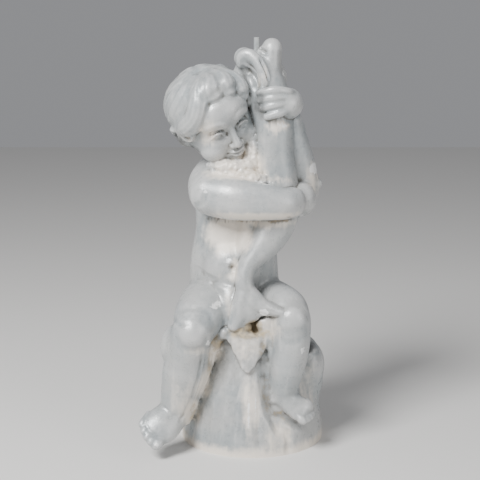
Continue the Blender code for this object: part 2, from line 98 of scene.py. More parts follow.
def domed(section, way):
    # smaller and smaller sections, so that a roll ends in a dome
    centre, along, across, depth, width, thick = section
    reach = min(width, thick)
    made = []
    for degrees in (25, 48, 66, 80):
        a = math.radians(degrees)
        made.append((centre + along * way * reach * math.sin(a), along, across, depth,
                     width * math.cos(a), thick * math.cos(a)))
    return made


def roll(stations, facing=back, sides=28, steps=6):
    # a sphere drawn out along its stations: x, y, z, half width and half depth, the depth along facing
    rows = smoothRows(stations, steps)
    path = [Vector(row[:3]) for row in rows]
    sections = []
    for i, row in enumerate(rows):
        along = (path[min(i + 1, len(path) - 1)] - path[max(i - 1, 0)]).normalized()
        depth = (facing - along * facing.dot(along)).normalized()
        sections.append((path[i], along, depth.cross(along), depth, row[3], row[4]))
    sections = domed(sections[0], -1)[::-1] + sections + domed(sections[-1], 1)
    bpy.ops.mesh.primitive_uv_sphere_add(segments=sides, ring_count=len(sections) + 1, radius=1)
    obj = bpy.context.object
    for vert in obj.data.vertices:
        x, y, z = vert.co
        ring = round((1 - math.acos(max(-1, min(1, z))) / math.pi) * (len(sections) + 1)) - 1
        around = math.atan2(y, x)
        if 0 <= ring < len(sections):
            centre, along, across, depth, width, thick = sections[ring]
            vert.co = centre + across * width * math.cos(around) + depth * thick * math.sin(around)
        else:
            end = sections[0] if ring < 0 else sections[-1]
            vert.co = end[0]
    return obj


def plate(outline, depth):
    # a disc whose rim is moved onto the outline, then pulled back
    bpy.ops.mesh.primitive_circle_add(vertices=len(outline), radius=1, fill_type="NGON")
    obj = bpy.context.object
    for vert, point in zip(obj.data.vertices, outline):
        vert.co = point
    bpy.ops.object.mode_set(mode="EDIT")
    bpy.ops.mesh.select_all(action="SELECT")
    bpy.ops.mesh.extrude_region_move(TRANSFORM_OT_translate={"value": (0, depth, 0)})
    bpy.ops.mesh.select_all(action="SELECT")
    bpy.ops.mesh.normals_make_consistent(inside=False)
    bpy.ops.object.mode_set(mode="OBJECT")
    return obj


def joinAll(name, lumps):
    deselectAll()
    for lump in lumps:
        lump.select_set(True)
    bpy.context.view_layer.objects.active = lumps[0]
    bpy.ops.object.join()
    bpy.ops.object.transform_apply(location=True, rotation=True, scale=True)
    obj = bpy.context.object
    obj.name = name
    return obj


def finishWith(obj, kind, **settings):
    # a modifier put on and applied
    deselectAll()
    obj.select_set(True)
    bpy.context.view_layer.objects.active = obj
    modifier = obj.modifiers.new(kind.lower(), kind)
    for key, value in settings.items():
        setattr(modifier, key, value)
    bpy.ops.object.modifier_apply(modifier=modifier.name)


def fuse(name, lumps, voxel, relax=0):
    # the lumps as one skin
    obj = joinAll(name, lumps)
    finishWith(obj, "REMESH", mode="VOXEL", voxel_size=voxel, use_smooth_shade=True)
    if relax:
        finishWith(obj, "SMOOTH", factor=0.5, iterations=relax)
    return obj


def readSkin(obj):
    count = len(obj.data.vertices)
    places = np.empty(count * 3, np.float32)
    normals = np.empty(count * 3, np.float32)
    obj.data.vertices.foreach_get("co", places)
    obj.data.vertex_normals.foreach_get("vector", normals)
    return places.reshape(-1, 3).astype(float), normals.reshape(-1, 3).astype(float)


def writeSkin(obj, places):
    obj.data.vertices.foreach_set("co", places.astype(np.float32).ravel())
    obj.data.update()


def skinTree(obj):
    return BVHTree.FromObject(obj, bpy.context.evaluated_depsgraph_get())


def carve(obj, strokes, look=None, turn=None):
    # each stroke is its points, its depth and its half width, and a depth below nothing raises a ridge;
    # the points drop onto the skin along look, or go to the nearest skin
    tree = skinTree(obj)
    places, normals = readSkin(obj)
    turn = turn or Matrix()
    for points, depth, width in strokes:
        longest = max(math.dist(a, b) for a, b in zip(points, points[1:] or points))
        steps = max(tool["leastSteps"], int(longest * tool["stepsPerWidth"] / width))
        drawn = smoothRows(points, steps) if len(points) > 1 else np.array(points, float)
        samples, pressures = [], []
        for i, row in enumerate(drawn):
            point = turn @ Vector(row)
            if look is None:
                hit = tree.find_nearest(point)[0]
            else:
                way = (turn.to_3x3() @ look).normalized()
                hit = tree.ray_cast(point - way * tool["startsBack"], way)[0]
            if hit is not None:
                toEnd = min(i, len(drawn) - 1 - i) / len(drawn)
                pressure = min(1, tool["endPressure"] + toEnd * tool["pressureRise"])
                samples.append(hit)
                pressures.append(pressure if len(drawn) > 1 else 1)
        if not samples:
            continue
        samples = np.array(samples)
        near = ((places > samples.min(0) - width) & (places < samples.max(0) + width)).all(1)
        near = np.nonzero(near)[0]
        if len(near) == 0:
            continue
        share = np.zeros(len(near))
        for sample, pressure in zip(samples, pressures):
            away = np.linalg.norm(places[near] - sample, axis=1)
            share = np.maximum(share, pressure * np.clip(1 - (away / width) ** 2, 0, None) ** 2)
        if look is not None:
            share *= normals[near] @ np.array(way) < tool["steepest"]
        places[near] -= normals[near] * (share * depth)[:, None]
    writeSkin(obj, places)


def roughen(obj, size, depth, stretch=(1, 1, 1), where=None):
    # lumps of about this size and depth, longer along an axis where stretch is above 1
    places, normals = readSkin(obj)
    scaled = places / (np.array(stretch) * size)
    lift = np.array([noise.fractal(Vector(p), 0.9, 2.1, 4) for p in scaled])
    if where is not None:
        lift *= where(places)
    writeSkin(obj, places + normals * (lift * depth)[:, None])


def mirrored(points):
    return [(-p[0], *p[1:]) for p in points]


def makeLumps(shape):
    lumps = [roll(stations, facing=facing) for stations, facing in shape.get("rolls", [])]
    lumps += [ball(centre, radii) for centre, radii in shape.get("balls", [])]
    lumps += [plate(outline, depth) for outline, depth in shape.get("plates", [])]
    return lumps


# the mound of rock

mound = {
    "rolls": [
        ([(0, 0, -3, 18.2, 18.2), (0, 0, 0, 17.9, 17.9), (0.1, 0.1, 4, 17.6, 17.4),
          (0.3, 0.5, 10, 16.6, 16.4), (0.4, 1, 16, 15.0, 15.2), (0, 1.6, 22, 13.2, 13.9),
          (-1.4, 2.4, 28, 12.0, 13.0), (-2.6, 3.2, 31, 11.2, 12.0)], back),
        ([(10.4, 3.0, 6, 6.0, 9.0), (12.4, 1.0, 13, 5.5, 8.4), (13.9, -0.8, 19.6, 4.4, 6.2),
          (13.2, -0.4, 22.8, 3.2, 4.6)], back),
        ([(8.0, 8.0, 3, 8.0, 7.4), (8.4, 8.0, 11, 8.0, 7.4), (6.0, 7.0, 21, 7.0, 7.4)], back),
        ([(-10.0, 6.0, 4, 6.4, 8.4), (-10.0, 6.6, 13, 6.0, 7.6), (-9.6, 5.4, 24, 4.6, 6.6)], back),
    ],
    "voxel": 0.5,
    "relax": 8,
    # swells all over, crags at the back and a crumbly crest: size, depth and stretch
    "swells": (7.0, 0.3, (1, 1, 2.6)),
    "crags": (2.4, 0.45, (1, 1, 1.7)),
    "cragsBehind": -1,
    "crumbs": (0.9, 0.1, (1, 1, 1)),
    "crestFrom": 19.5,
    "wholeVoxel": 0.32,
    "wholeRelax": 2,
}

ledges = {
    "plates": [
        ([(-6.6, -12.6, 30.7), (-4.8, -13.2, 30.5), (-2.8, -13.8, 31.0), (-1.2, -13.9, 30.3),
          (1.4, -13.6, 29.2), (3.9, -12.9, 28.5), (3.2, -13.4, 26.2), (1.5, -14.0, 23.4), (0.1, -14.4, 21.4),
          (-1.2, -14.6, 20.2), (-2.0, -14.6, 20.4), (-3.2, -14.3, 22.2), (-4.6, -13.9, 25.0),
          (-6.0, -13.2, 27.8)], 7),
        ([(0.6, -12.4, 31.8), (1.8, -12.8, 33.2), (3.6, -13.2, 33.9), (7.2, -13.0, 33.8), (7.2, -12.6, 29.2),
          (2.0, -13.0, 28.6)], 6),
        ([(-7.2, -10.4, 28.4), (-10.8, -12.4, 25.5), (-13.6, -13.6, 16.5), (-17.6, -13.2, 6.2),
          (-15.4, -11.6, 6.0), (-11.4, -11.4, 16.5), (-8.4, -10.8, 24.8)], 5),
    ],
    "rolls": [
        ([(0.6, -9.5, 22, 1.4, 3.0), (-0.2, -12.0, 14, 1.0, 2.6), (-0.6, -14.4, 5, 0.8, 2.4)], back),
        ([(4.4, -10.4, 28.0, 1.6, 2.6), (5.0, -10.6, 22.0, 1.4, 2.6), (5.6, -12.4, 14.0, 1.2, 2.2)], back),
    ],
    "balls": [
        ((-9.6, -9.4, 26.6), (2.2, 2.8, 2.6)),
        ((-8.0, -10.2, 28.6), (1.8, 2.0, 1.8)),
        ((-3.2, -11.6, 31.0), (3.1, 1.8, 1.7)),
        ((-6.9, -11.2, 29.7), (2.0, 2.2, 1.7)),
        ((14.6, -3.8, 23.2), (1.4, 2.2, 1.3)),
        ((13.0, -5.0, 21.8), (1.6, 2.0, 1.4)),
    ],
    "voxel": 0.3,
    "relax": 2,
    "roughness": (1.3, 0.26),
    "grooves": [
        ([(2.6, 0, 22.5), (3.2, 0, 17.0), (3.8, 0, 12.5), (5.6, 0, 8.4), (8.0, 0, 5.0)], 1.3, 2.4),
        ([(3.6, 0, 15.0), (5.2, 0, 12.6)], 0.5, 1.0),
        ([(4.0, 0, 14.0), (6.4, 0, 10.4), (9.6, 0, 8.2), (12.4, 0, 6.8)], 1.3, 2.4),
        ([(-0.6, 0, 19.0), (-0.9, 0, 12.0), (-0.6, 0, 5.0)], -0.22, 0.9),
        ([(0.6, 0, 15.0), (0.8, 0, 10.0), (0.6, 0, 6.4)], -0.18, 0.6),
        ([(-4.4, 0, 21.0), (-4.9, 0, 14.0), (-5.6, 0, 6.0)], 0.35, 1.8),
        ([(1.2, 0, 15.0), (1.0, 0, 8.0), (1.4, 0, 2.0)], 0.4, 1.2),
        ([(8.4, 0, 6.0), (8.8, 0, 3.2), (8.6, 0, 0.6)], 0.45, 1.6),
        ([(-10.6, 0, 12.0), (-11.0, 0, 7.0), (-11.4, 0, 2.0)], 0.3, 1.8),
    ],
}


def aboveFoot(places):
    # the lowest part stays true, where the rock rests
    return np.clip((places[:, 2] - 1) / 3, 0, 1)


def rockBack(places):
    return aboveFoot(places) * np.clip((places[:, 1] - mound["cragsBehind"]) / 4, 0, 1)


def rockCrest(places):
    return np.clip((places[:, 2] - mound["crestFrom"]) / 2, 0, 1) * (np.abs(places[:, 0] - 1.5) < 14)


def makeRock():
    rock = fuse("rock", makeLumps(mound), mound["voxel"], mound["relax"])
    edge = fuse("ledges", makeLumps(ledges), ledges["voxel"], ledges["relax"])
    roughen(edge, *ledges["roughness"])
    whole = fuse("rock", [rock, edge], mound["wholeVoxel"], mound["wholeRelax"])
    carve(whole, ledges["grooves"], look=back)
    roughen(whole, *mound["swells"], where=aboveFoot)
    roughen(whole, *mound["crags"], where=rockBack)
    roughen(whole, *mound["crumbs"], where=rockCrest)
    return whole


# the seated body

torso = {
    "rolls": [
        ([(-4.2, 3.2, 33, 11.8, 9), (-4.6, 2.9, 39, 11.4, 9.4), (-4.5, 1.2, 46, 10.8, 8.4),
          (-4.1, 1.2, 53, 10.0, 7.6), (-3.9, 2.4, 60, 10.2, 7.6), (-3.6, 2.6, 65, 8.6, 6.4),
          (-3.4, 2, 68.5, 5.4, 4.6)], back),
        ([(-6.2, -6.4, 41.0, 3.0, 2.8), (-5.0, -9.0, 36.8, 3.6, 2.8), (-5.2, -10.2, 32.0, 3.0, 2.2)], back),
        ([(0.4, -5.8, 58.4, 3.0, 2.2), (-0.4, -6.4, 54.4, 2.8, 2.1), (-1.6, -7.0, 50.6, 2.2, 1.9),
          (-3.0, -7.4, 47.4, 1.4, 1.4)], back),
    ],
    "balls": [
        ((-4.8, -2.0, 44.5), (8.0, 7.2, 8.2)),
        ((-9.6, 5.4, 35.0), (6.6, 7.4, 6.6)),
        ((1.2, 5.6, 35.0), (6.6, 7.4, 6.6)),
        ((-9.0, 3.4, 62.0), (4.2, 4.4, 4.6)),
        ((2.2, 3.8, 62.0), (4.2, 4.4, 4.6)),
        ((-4.6, -7.9, 41.4), (2.3, 2.1, 2.8)),
    ],
    "voxel": 0.4,
    "relax": 10,
}

rightLeg = {
    "rolls": [
        ([(-9.5, 2, 35, 7.0, 6.6), (-11.2, -4, 34.6, 7.2, 6.6), (-13.0, -10, 33, 6.4, 5.9),
          (-14.2, -13.5, 31, 5.2, 5.2)], up),
        ([(-14.6, -13.5, 30.5, 4.9, 5.0), (-15.6, -12.2, 25, 5.2, 5.2), (-16.5, -11.6, 20, 5.5, 5.4),
          (-17.8, -11.8, 15, 4.7, 4.6), (-19.0, -12.4, 11, 3.7, 3.8)], back),
    ],
    "balls": [
        ((-14.4, -15.8, 30.6), (3.9, 3.2, 4.0)),
        ((-18.6, -10.4, 26.0), (4.0, 4.4, 5.4)),
        ((-14.2, -9, 20), (3.8, 4.6, 7)),
        ((-8.8, -7.6, 28.6), (2.6, 3.6, 3.0)),
        ((-7.2, -6.8, 34.5), (3.4, 4.6, 5.0)),
    ],
}

leftLeg = {
    "rolls": [
        ([(2.6, 2.5, 34.2, 6.6, 6.2), (5.2, -3, 34.6, 6.3, 6.0), (8.0, -8, 34.5, 5.5, 5.4),
          (9.3, -11, 33.2, 4.8, 4.9)], up),
        ([(9.4, -11.5, 32.4, 4.8, 4.8), (9.3, -11.9, 27, 4.6, 4.7), (8.6, -11.7, 22, 4.4, 4.6),
          (7.8, -11.2, 17, 3.8, 4.0), (7.4, -10.9, 14, 3.6, 3.6)], back),
    ],
    "balls": [
        ((9.4, -13.8, 32.8), (3.7, 2.7, 4.2)),
        ((8.4, -8.4, 23), (3.8, 4.0, 6.0)),
    ],
}

neck = {
    "rolls": [
        ([(-3.8, 2.5, 66, 5.4, 5.4), (-6.0, 0.5, 72, 4.8, 4.8), (-7.5, -1, 77, 4.8, 4.8)], back),
        ([(-1.0, 0.0, 72, 3.6, 3.0), (-0.6, -0.6, 79, 3.2, 2.8), (-1.2, -0.4, 88, 3.4, 3.2)], back),
    ],
    "balls": [
        ((-1.0, -2.0, 70.5), (5.6, 3.6, 4.0)),
        ((-7.4, 2.8, 68.2), (5.0, 3.6, 3.6)),
        ((1.2, 3.0, 68.0), (4.6, 3.4, 3.6)),
    ],
}

# the lump of filling lead under the chin
filling = {
    "rolls": [
        ([(-8.8, -7.6, 68.0, 1.4, 1.6), (-4.6, -8.6, 67.4, 1.8, 1.9), (-0.6, -8.8, 67.0, 2.0, 1.8),
          (2.4, -8.6, 66.4, 1.4, 1.4)], back),
        ([(-10.0, -6.4, 69.6, 1.4, 1.6), (-7.0, -7.6, 69.6, 1.7, 2.1), (-4.0, -7.8, 69.6, 1.7, 2.1),
          (-1.4, -7.2, 69.8, 1.7, 2.0)], back),
        ([(-0.4, -5.2, 67.5, 2.6, 2.4), (-0.2, -4.9, 71.0, 2.4, 2.6), (0.2, -4.4, 75.0, 1.6, 2.2),
          (0.4, -4.0, 78.5, 1.0, 1.6)], back),
    ],
    "voxel": 0.3,
    "relax": 3,
    "roughness": (0.9, 0.42),
}

arms = {
    "rolls": [
        ([(-9.6, 1.5, 66.4, 4.9, 4.9), (-10.5, -3.5, 64.8, 5.2, 5.2), (-10.3, -8, 63.2, 5.1, 5.1)], up),
        ([(-9.8, -8.2, 63.0, 5.2, 5.1), (-4.5, -11, 62.4, 5.2, 4.5), (2, -12, 61.8, 4.5, 3.8),
          (7, -11.6, 61.3, 3.9, 3.3), (9.6, -9.8, 61.3, 3.8, 3.0)], back),
        ([(3.5, 3, 66, 5.2, 5.2), (8.5, 3, 63.8, 4.4, 4.6), (12.2, 1.6, 62.4, 4.0, 4.0)], back),
        ([(12.6, 1.2, 62.8, 4.0, 4.0), (11.6, 0.2, 69, 3.9, 4.0), (10.2, -1.0, 75, 3.4, 3.6),
          (9.4, -1.8, 79.8, 2.9, 3.0)], back),
        ([(9.4, -1.6, 67, 2.8, 3.2), (8.4, -2.4, 74, 2.6, 3.4), (7.6, -2.8, 80, 2.2, 3.0)], back),
        ([(13.0, 0.8, 63.4, 3.2, 3.2), (16.1, 0.8, 64.4, 1.3, 1.6)], back),
    ],
    "balls": [
        ((12.2, 0.8, 60.8), (3.4, 3.8, 4.0)),
        ((11.8, -5.0, 61.4), (3.7, 5.0, 4.0)),
    ],
    "voxel": 0.4,
    "relax": 8,
}

# the right hand's fingers go round the dolphin: their first height, the step between them and their sizes
rightFingers = {
    "top": 63.7,
    "step": 1.8,
    "inset": [0.7, 0.0, 0.1, 0.9],
    "line": [(12.0, -7.4), (14.2, -4.2), (14.2, -0.8)],
    "sizes": [(1.1, 1.3), (1.05, 1.2), (0.95, 1.0)],
}

bodyLines = {
    "front": [
        ([(-5.0, 0, 45.2)], 1.1, 1.2),
        ([(-6.3, 0, 45.9), (-5.0, 0, 46.7), (-3.8, 0, 45.9)], -0.25, 0.9),
        ([(-14.4, 0, 44.0), (-12.4, 0, 43.2), (-10.0, 0, 42.2), (-7.4, 0, 41.4), (-5.2, 0, 41.2)], 0.22, 1.2),
        ([(-13.8, 0, 42.4), (-10.4, 0, 40.9), (-7.0, 0, 40.0)], -0.12, 1.0),
        ([(-12.4, 0, 49.6), (-12.0, 0, 53.0), (-11.6, 0, 57.0)], 0.16, 1.0),
        ([(-17.6, 0, 35.6), (-15.0, 0, 36.4), (-12.2, 0, 36.2), (-10.4, 0, 35.0),
          (-9.6, 0, 33.2)], 0.12, 1.3),
        ([(-19.2, 0, 33.6), (-16.8, 0, 33.2), (-15.0, 0, 33.6)], 0.1, 1.0),
        ([(-18.2, 0, 29.8), (-17.2, 0, 27.6), (-14.6, 0, 26.6), (-12.0, 0, 27.8),
          (-11.2, 0, 30.0)], 0.14, 1.6),
        ([(-12.0, 0, 26.2), (-13.0, 0, 20.0), (-15.2, 0, 13.0), (-17.6, 0, 8.6)], 0.35, 0.8),
        ([(-11.3, 0, 24.4), (-12.5, 0, 18.4), (-15.0, 0, 10.6)], 0.25, 0.4),
        ([(-10.2, 0, 23.6), (-11.8, 0, 17.2), (-14.6, 0, 9.0)], 0.25, 0.4),
        ([(-9.2, 0, 25.0), (-10.9, 0, 18.6), (-14.0, 0, 9.6)], 0.2, 0.35),
        ([(6.2, 0, 30.4), (7.4, 0, 29.0), (9.8, 0, 28.8), (11.8, 0, 30.0)], 0.1, 1.3),
        ([(7.4, 0, 59.2), (8.6, 0, 58.2), (9.2, 0, 57.4)], 0.14, 0.5),
        ([(-13.8, 0, 60.6), (-12.0, 0, 62.0), (-11.2, 0, 64.2)], 0.18, 1.2),
    ],
    "back": [
        ([(-3.6, 0, 65.0), (-4.0, 0, 56.0), (-4.2, 0, 46.0), (-4.2, 0, 38.4)], 0.9, 3.0),
        ([(-4.2, 0, 37.6), (-4.2, 0, 33.0), (-4.2, 0, 30.6)], 0.9, 1.6),
        ([(-10.4, 0, 62.6), (-7.6, 0, 60.0), (-7.8, 0, 55.6)], 0.4, 2.4),
        ([(3.0, 0, 62.6), (0.2, 0, 60.0), (0.0, 0, 55.6)], 0.4, 2.4),
        ([(-12.4, 0, 45.0), (-9.0, 0, 43.6), (-6.4, 0, 43.8)], 0.3, 2.2),
        ([(4.0, 0, 45.0), (0.6, 0, 43.6), (-2.0, 0, 43.8)], 0.3, 2.2),
    ],
}


fineVoxel = 0.2     # for fingers, toes and hair
toesRelax = 16
handRelax = 2
fingersRelax = 3


def soleWay(foot):
    return Vector(foot["along"]).cross(Vector(foot["across"])).normalized()


def makeBody():
    lumps = makeLumps(torso) + makeLumps(rightLeg) + makeLumps(leftLeg) + makeLumps(neck)
    for foot in (rightFoot, leftFoot):
        lumps += [roll(foot["sole"], facing=soleWay(foot)), ball(*foot["heel"]), ball(*foot["instep"])]
    body = fuse("body", lumps, torso["voxel"], torso["relax"])
    filler = fuse("filling", makeLumps(filling), filling["voxel"], filling["relax"])
    roughen(filler, *filling["roughness"])
    return [body, fuse("arms", makeLumps(arms), arms["voxel"], arms["relax"]), filler]


# feet and hands

rightFoot = {
    "sole": [(-17.6, -10.6, 9.4, 3.4, 3.4), (-19.8, -13.2, 9.0, 4.1, 3.3), (-22.0, -15.8, 7.6, 4.6, 2.6),
             (-23.6, -17.2, 6.6, 4.2, 1.9)],
    "heel": ((-17.4, -9.6, 7.8), (2.6, 2.8, 2.6)),
    "instep": ((-22.6, -15.2, 7.6), (3.6, 3.0, 2.8)),
    "along": (-6.0, -8.6, -4.4),
    "across": (-3.4, 2.2, 3.6),
    "bigToe": (-23.3, -19.8, 3.9),
    "littleToe": (-26.9, -17.0, 8.2),
    "toes": [(1.55, 4.8), (1.25, 4.4), (1.18, 4.0), (1.1, 3.6), (1.02, 3.2)],
}

leftFoot = {
    "sole": [(7.0, -10.8, 13.8, 3.2, 3.2), (8.9, -12.0, 12.6, 3.1, 2.7), (10.8, -13.2, 11.2, 3.0, 2.1),
             (12.0, -14.0, 10.3, 2.9, 1.7)],
    "heel": ((5.6, -11.4, 13.4), (2.3, 2.8, 2.1)),
    "instep": ((12.0, -12.4, 11.3), (3.0, 2.8, 2.1)),
    "along": (5.6, -3.6, -4.0),
    "across": (2.4, 2.0, 1.6),
    "bigToe": (12.3, -15.8, 8.7),
    "littleToe": (14.9, -12.2, 10.2),
    "toes": [(1.25, 3.8), (0.96, 3.4), (0.9, 3.2), (0.85, 3.0), (0.8, 2.8)],
}

leftHand = {
    "palm": ((8.3, -4.6, 84.4), (3.8, 4.9, 3.8)),
    "wrapCentre": (5.0, -3.6),
    "wrapReach": 5.3,
    "tips": [87.2, 85.4, 83.6, 81.6],
    "middles": [88.0, 86.3, 84.6, 82.7],
    "knuckles": [86.8, 85.8, 84.8, 83.9],
    "startAngle": -34,
    "endAngles": [-131, -128, -122, -109],
    "fingerSize": 1.04,
    "thumb": [(8.0, -1.0, 84, 1.8, 1.8), (6.9, 0.6, 88, 1.3, 1.5), (6.9, 0.8, 91, 1.4, 1.5),
              (6.2, 0.8, 92.6, 1.2, 1.2)],
}


def makeToes(foot):
    along = Vector(foot["along"]).normalized()
    lumps = []
    big, little = Vector(foot["bigToe"]), Vector(foot["littleToe"])
    for i, (size, length) in enumerate(foot["toes"]):
        tip = big.lerp(little, i / 4) + along * 0.8 * math.sin(math.pi * i / 4)
        root = tip - along * length + Vector((0, 0, 0.5))
        joint = root.lerp(tip, 0.5)
        pad = root.lerp(tip, 0.85)
        lumps.append(roll([(*root, size, size), (*joint, size * 0.92, size * 0.86),
                           (*pad, size, size * 0.92), (*tip, size * 0.86, size * 0.74)], facing=up, sides=18))
    return fuse("toes", lumps, fineVoxel, toesRelax)


def makeHand():
    hand = leftHand
    middleX, middleY = hand["wrapCentre"]
    lumps = [ball(*hand["palm"]), roll(hand["thumb"])]
    for tip, middle, knuckle, end in zip(hand["tips"], hand["middles"], hand["knuckles"], hand["endAngles"]):
        stations = []
        for share, size in ((0, 0.9), (0.2, 1.08), (0.4, 1.0), (0.6, 1.06), (0.8, 0.94), (1.0, 0.86)):
            angle = math.radians(hand["startAngle"] + (end - hand["startAngle"]) * share)
            reach = hand["wrapReach"] + 0.3 * math.sin(math.pi * share)
            height = np.interp(share, (0, 0.5, 1), (knuckle, middle, tip))
            size = size * hand["fingerSize"]
            stations.append((middleX + math.cos(angle) * reach, middleY + math.sin(angle) * (reach - 0.3),
                             height, size, size))
        lumps.append(roll(stations, facing=up, sides=18))
    return fuse("leftHand", lumps, fineVoxel, handRelax)


def makeFingers():
    # the right hand's fingers, bent round the dolphin
    lumps = []
    for i in range(4):
        z = rightFingers["top"] - rightFingers["step"] * i
        stations = zip(rightFingers["line"], rightFingers["sizes"])
        inset = rightFingers["inset"][i]
        lumps.append(roll([(x - inset, y, z, *size) for (x, y), size in stations], sides=18))
    return fuse("rightHand", lumps, fineVoxel, fingersRelax)


# the head, drawn upright about its own centre, with the face towards -Y

head = {
    "centre": (-9.6, -2.6, 82.2),
    "turn": (20, -24, 22),
    "hairCentre": (0, 2.0, 1.2),
    "hairRadii": (9.7, 10.6, 9.6),
    "lockSink": 0.965,
    "skinVoxel": 0.3,
    "skinRelax": 8,
    "fineVoxel": 0.16,
    "socketDepth": 0.9,
    "socketWidth": 2.3,
    "hairRelax": 5,
    "skull": [
        ((0, 1.6, 1.0), (9.0, 10.2, 8.8)),
        ((0, -2.6, -3.4), (8.2, 7.0, 8.0)),
        ((0, -4.4, 2.4), (7.2, 5.6, 5.6)),
        ((0, -4.6, -7.8), (5.4, 4.6, 4.0)),
        ((0, -7.5, -6.9), (3.0, 2.0, 2.4)),
        ((0, -7.6, -9.9), (2.4, 2.1, 1.8)),
    ],
    "cheek": ((4.2, -5.9, -5.4), (3.7, 3.3, 3.4)),
    "earBase": ((8.3, 0.1, -2.4), (0.8, 1.6, 2.4)),
    "ear": [(8.2, -1.1, -3.8, 0.4, 0.4), (8.8, -1.6, -1.8, 0.45, 0.45), (9.1, -0.7, 0.0, 0.5, 0.5),
            (9.2, 0.9, -0.4, 0.5, 0.5), (9.0, 1.4, -2.4, 0.45, 0.45), (8.7, 0.4, -4.1, 0.5, 0.5),
            (8.3, -0.5, -4.9, 0.6, 0.6)],
    "socket": [(2.2, 0, -1.3), (3.3, 0, -1.0), (4.6, 0, -1.2)],
    "eye": ((3.3, -6.6, -1.35), (1.75, 1.7, 1.7)),
    "upperLid": [(1.7, -8.1, -1.8, 0.3, 0.3), (2.4, -8.65, -0.75, 0.34, 0.34),
                 (3.4, -8.8, -0.35, 0.36, 0.36), (4.3, -8.4, -0.7, 0.34, 0.34),
                 (5.1, -7.6, -1.6, 0.3, 0.3)],
    "lowerLid": [(1.8, -8.15, -1.9, 0.26, 0.26), (2.7, -8.45, -2.4, 0.28, 0.28),
                 (3.5, -8.45, -2.55, 0.28, 0.28), (4.3, -8.1, -2.3, 0.26, 0.26),
                 (5.0, -7.55, -1.8, 0.24, 0.24)],
    "noseBridge": [(0, -8.8, 0.8, 0.8, 0.8), (0, -9.4, -1.4, 0.8, 0.85), (0, -10.3, -3.4, 0.95, 0.95),
                   (0, -10.6, -4.2, 1.1, 0.95)],
    "noseWing": ((1.15, -9.9, -4.45), (0.72, 0.8, 0.66)),
    "upperLip": [(-2.1, -8.8, -6.75, 0.22, 0.3), (-1.1, -9.55, -6.5, 0.42, 0.5), (0, -9.8, -6.6, 0.4, 0.5),
                 (1.1, -9.55, -6.5, 0.42, 0.5), (2.1, -8.8, -6.75, 0.22, 0.3)],
    "lowerLip": [(-1.7, -8.9, -7.15, 0.25, 0.3), (-0.9, -9.5, -7.4, 0.48, 0.5), (0, -9.65, -7.5, 0.56, 0.55),
                 (0.9, -9.5, -7.4, 0.48, 0.5), (1.7, -8.9, -7.15, 0.25, 0.3)],
}

faceLines = {
    "middle": [
        ([(-2.2, 0, -6.75), (-1.1, 0, -6.95), (0, 0, -7.05), (1.1, 0, -6.95), (2.2, 0, -6.75)], 0.4, 0.36),
        ([(0, 0, -5.5), (0, 0, -6.1)], 0.16, 0.45),
        ([(-1.3, 0, -8.4), (0, 0, -8.6), (1.3, 0, -8.4)], 0.35, 0.9),
    ],
    "paired": [
        ([(1.7, 0, -0.9), (2.5, 0, 0.25), (3.5, 0, 0.5), (4.6, 0, 0.0), (5.5, 0, -1.2)], 0.3, 0.45),
        ([(1.2, 0, 1.7), (2.8, 0, 2.4), (4.4, 0, 2.2), (5.9, 0, 1.2)], -0.25, 1.1),
        ([(1.5, 0, -1.9), (1.3, 0, -1.2)], 0.3, 0.6),
        ([(2.4, 0, -6.8)], 0.35, 0.55),
        ([(1.9, 0, -5.0), (2.7, 0, -6.0), (3.0, 0, -7.2)], 0.12, 0.7),
        ([(0.95, 0, -3.6), (1.9, 0, -4.1), (1.95, 0, -5.0)], 0.18, 0.35),
    ],
    "nostril": ((0.6, -10.4, -5.3), 0.45, 0.42),
}

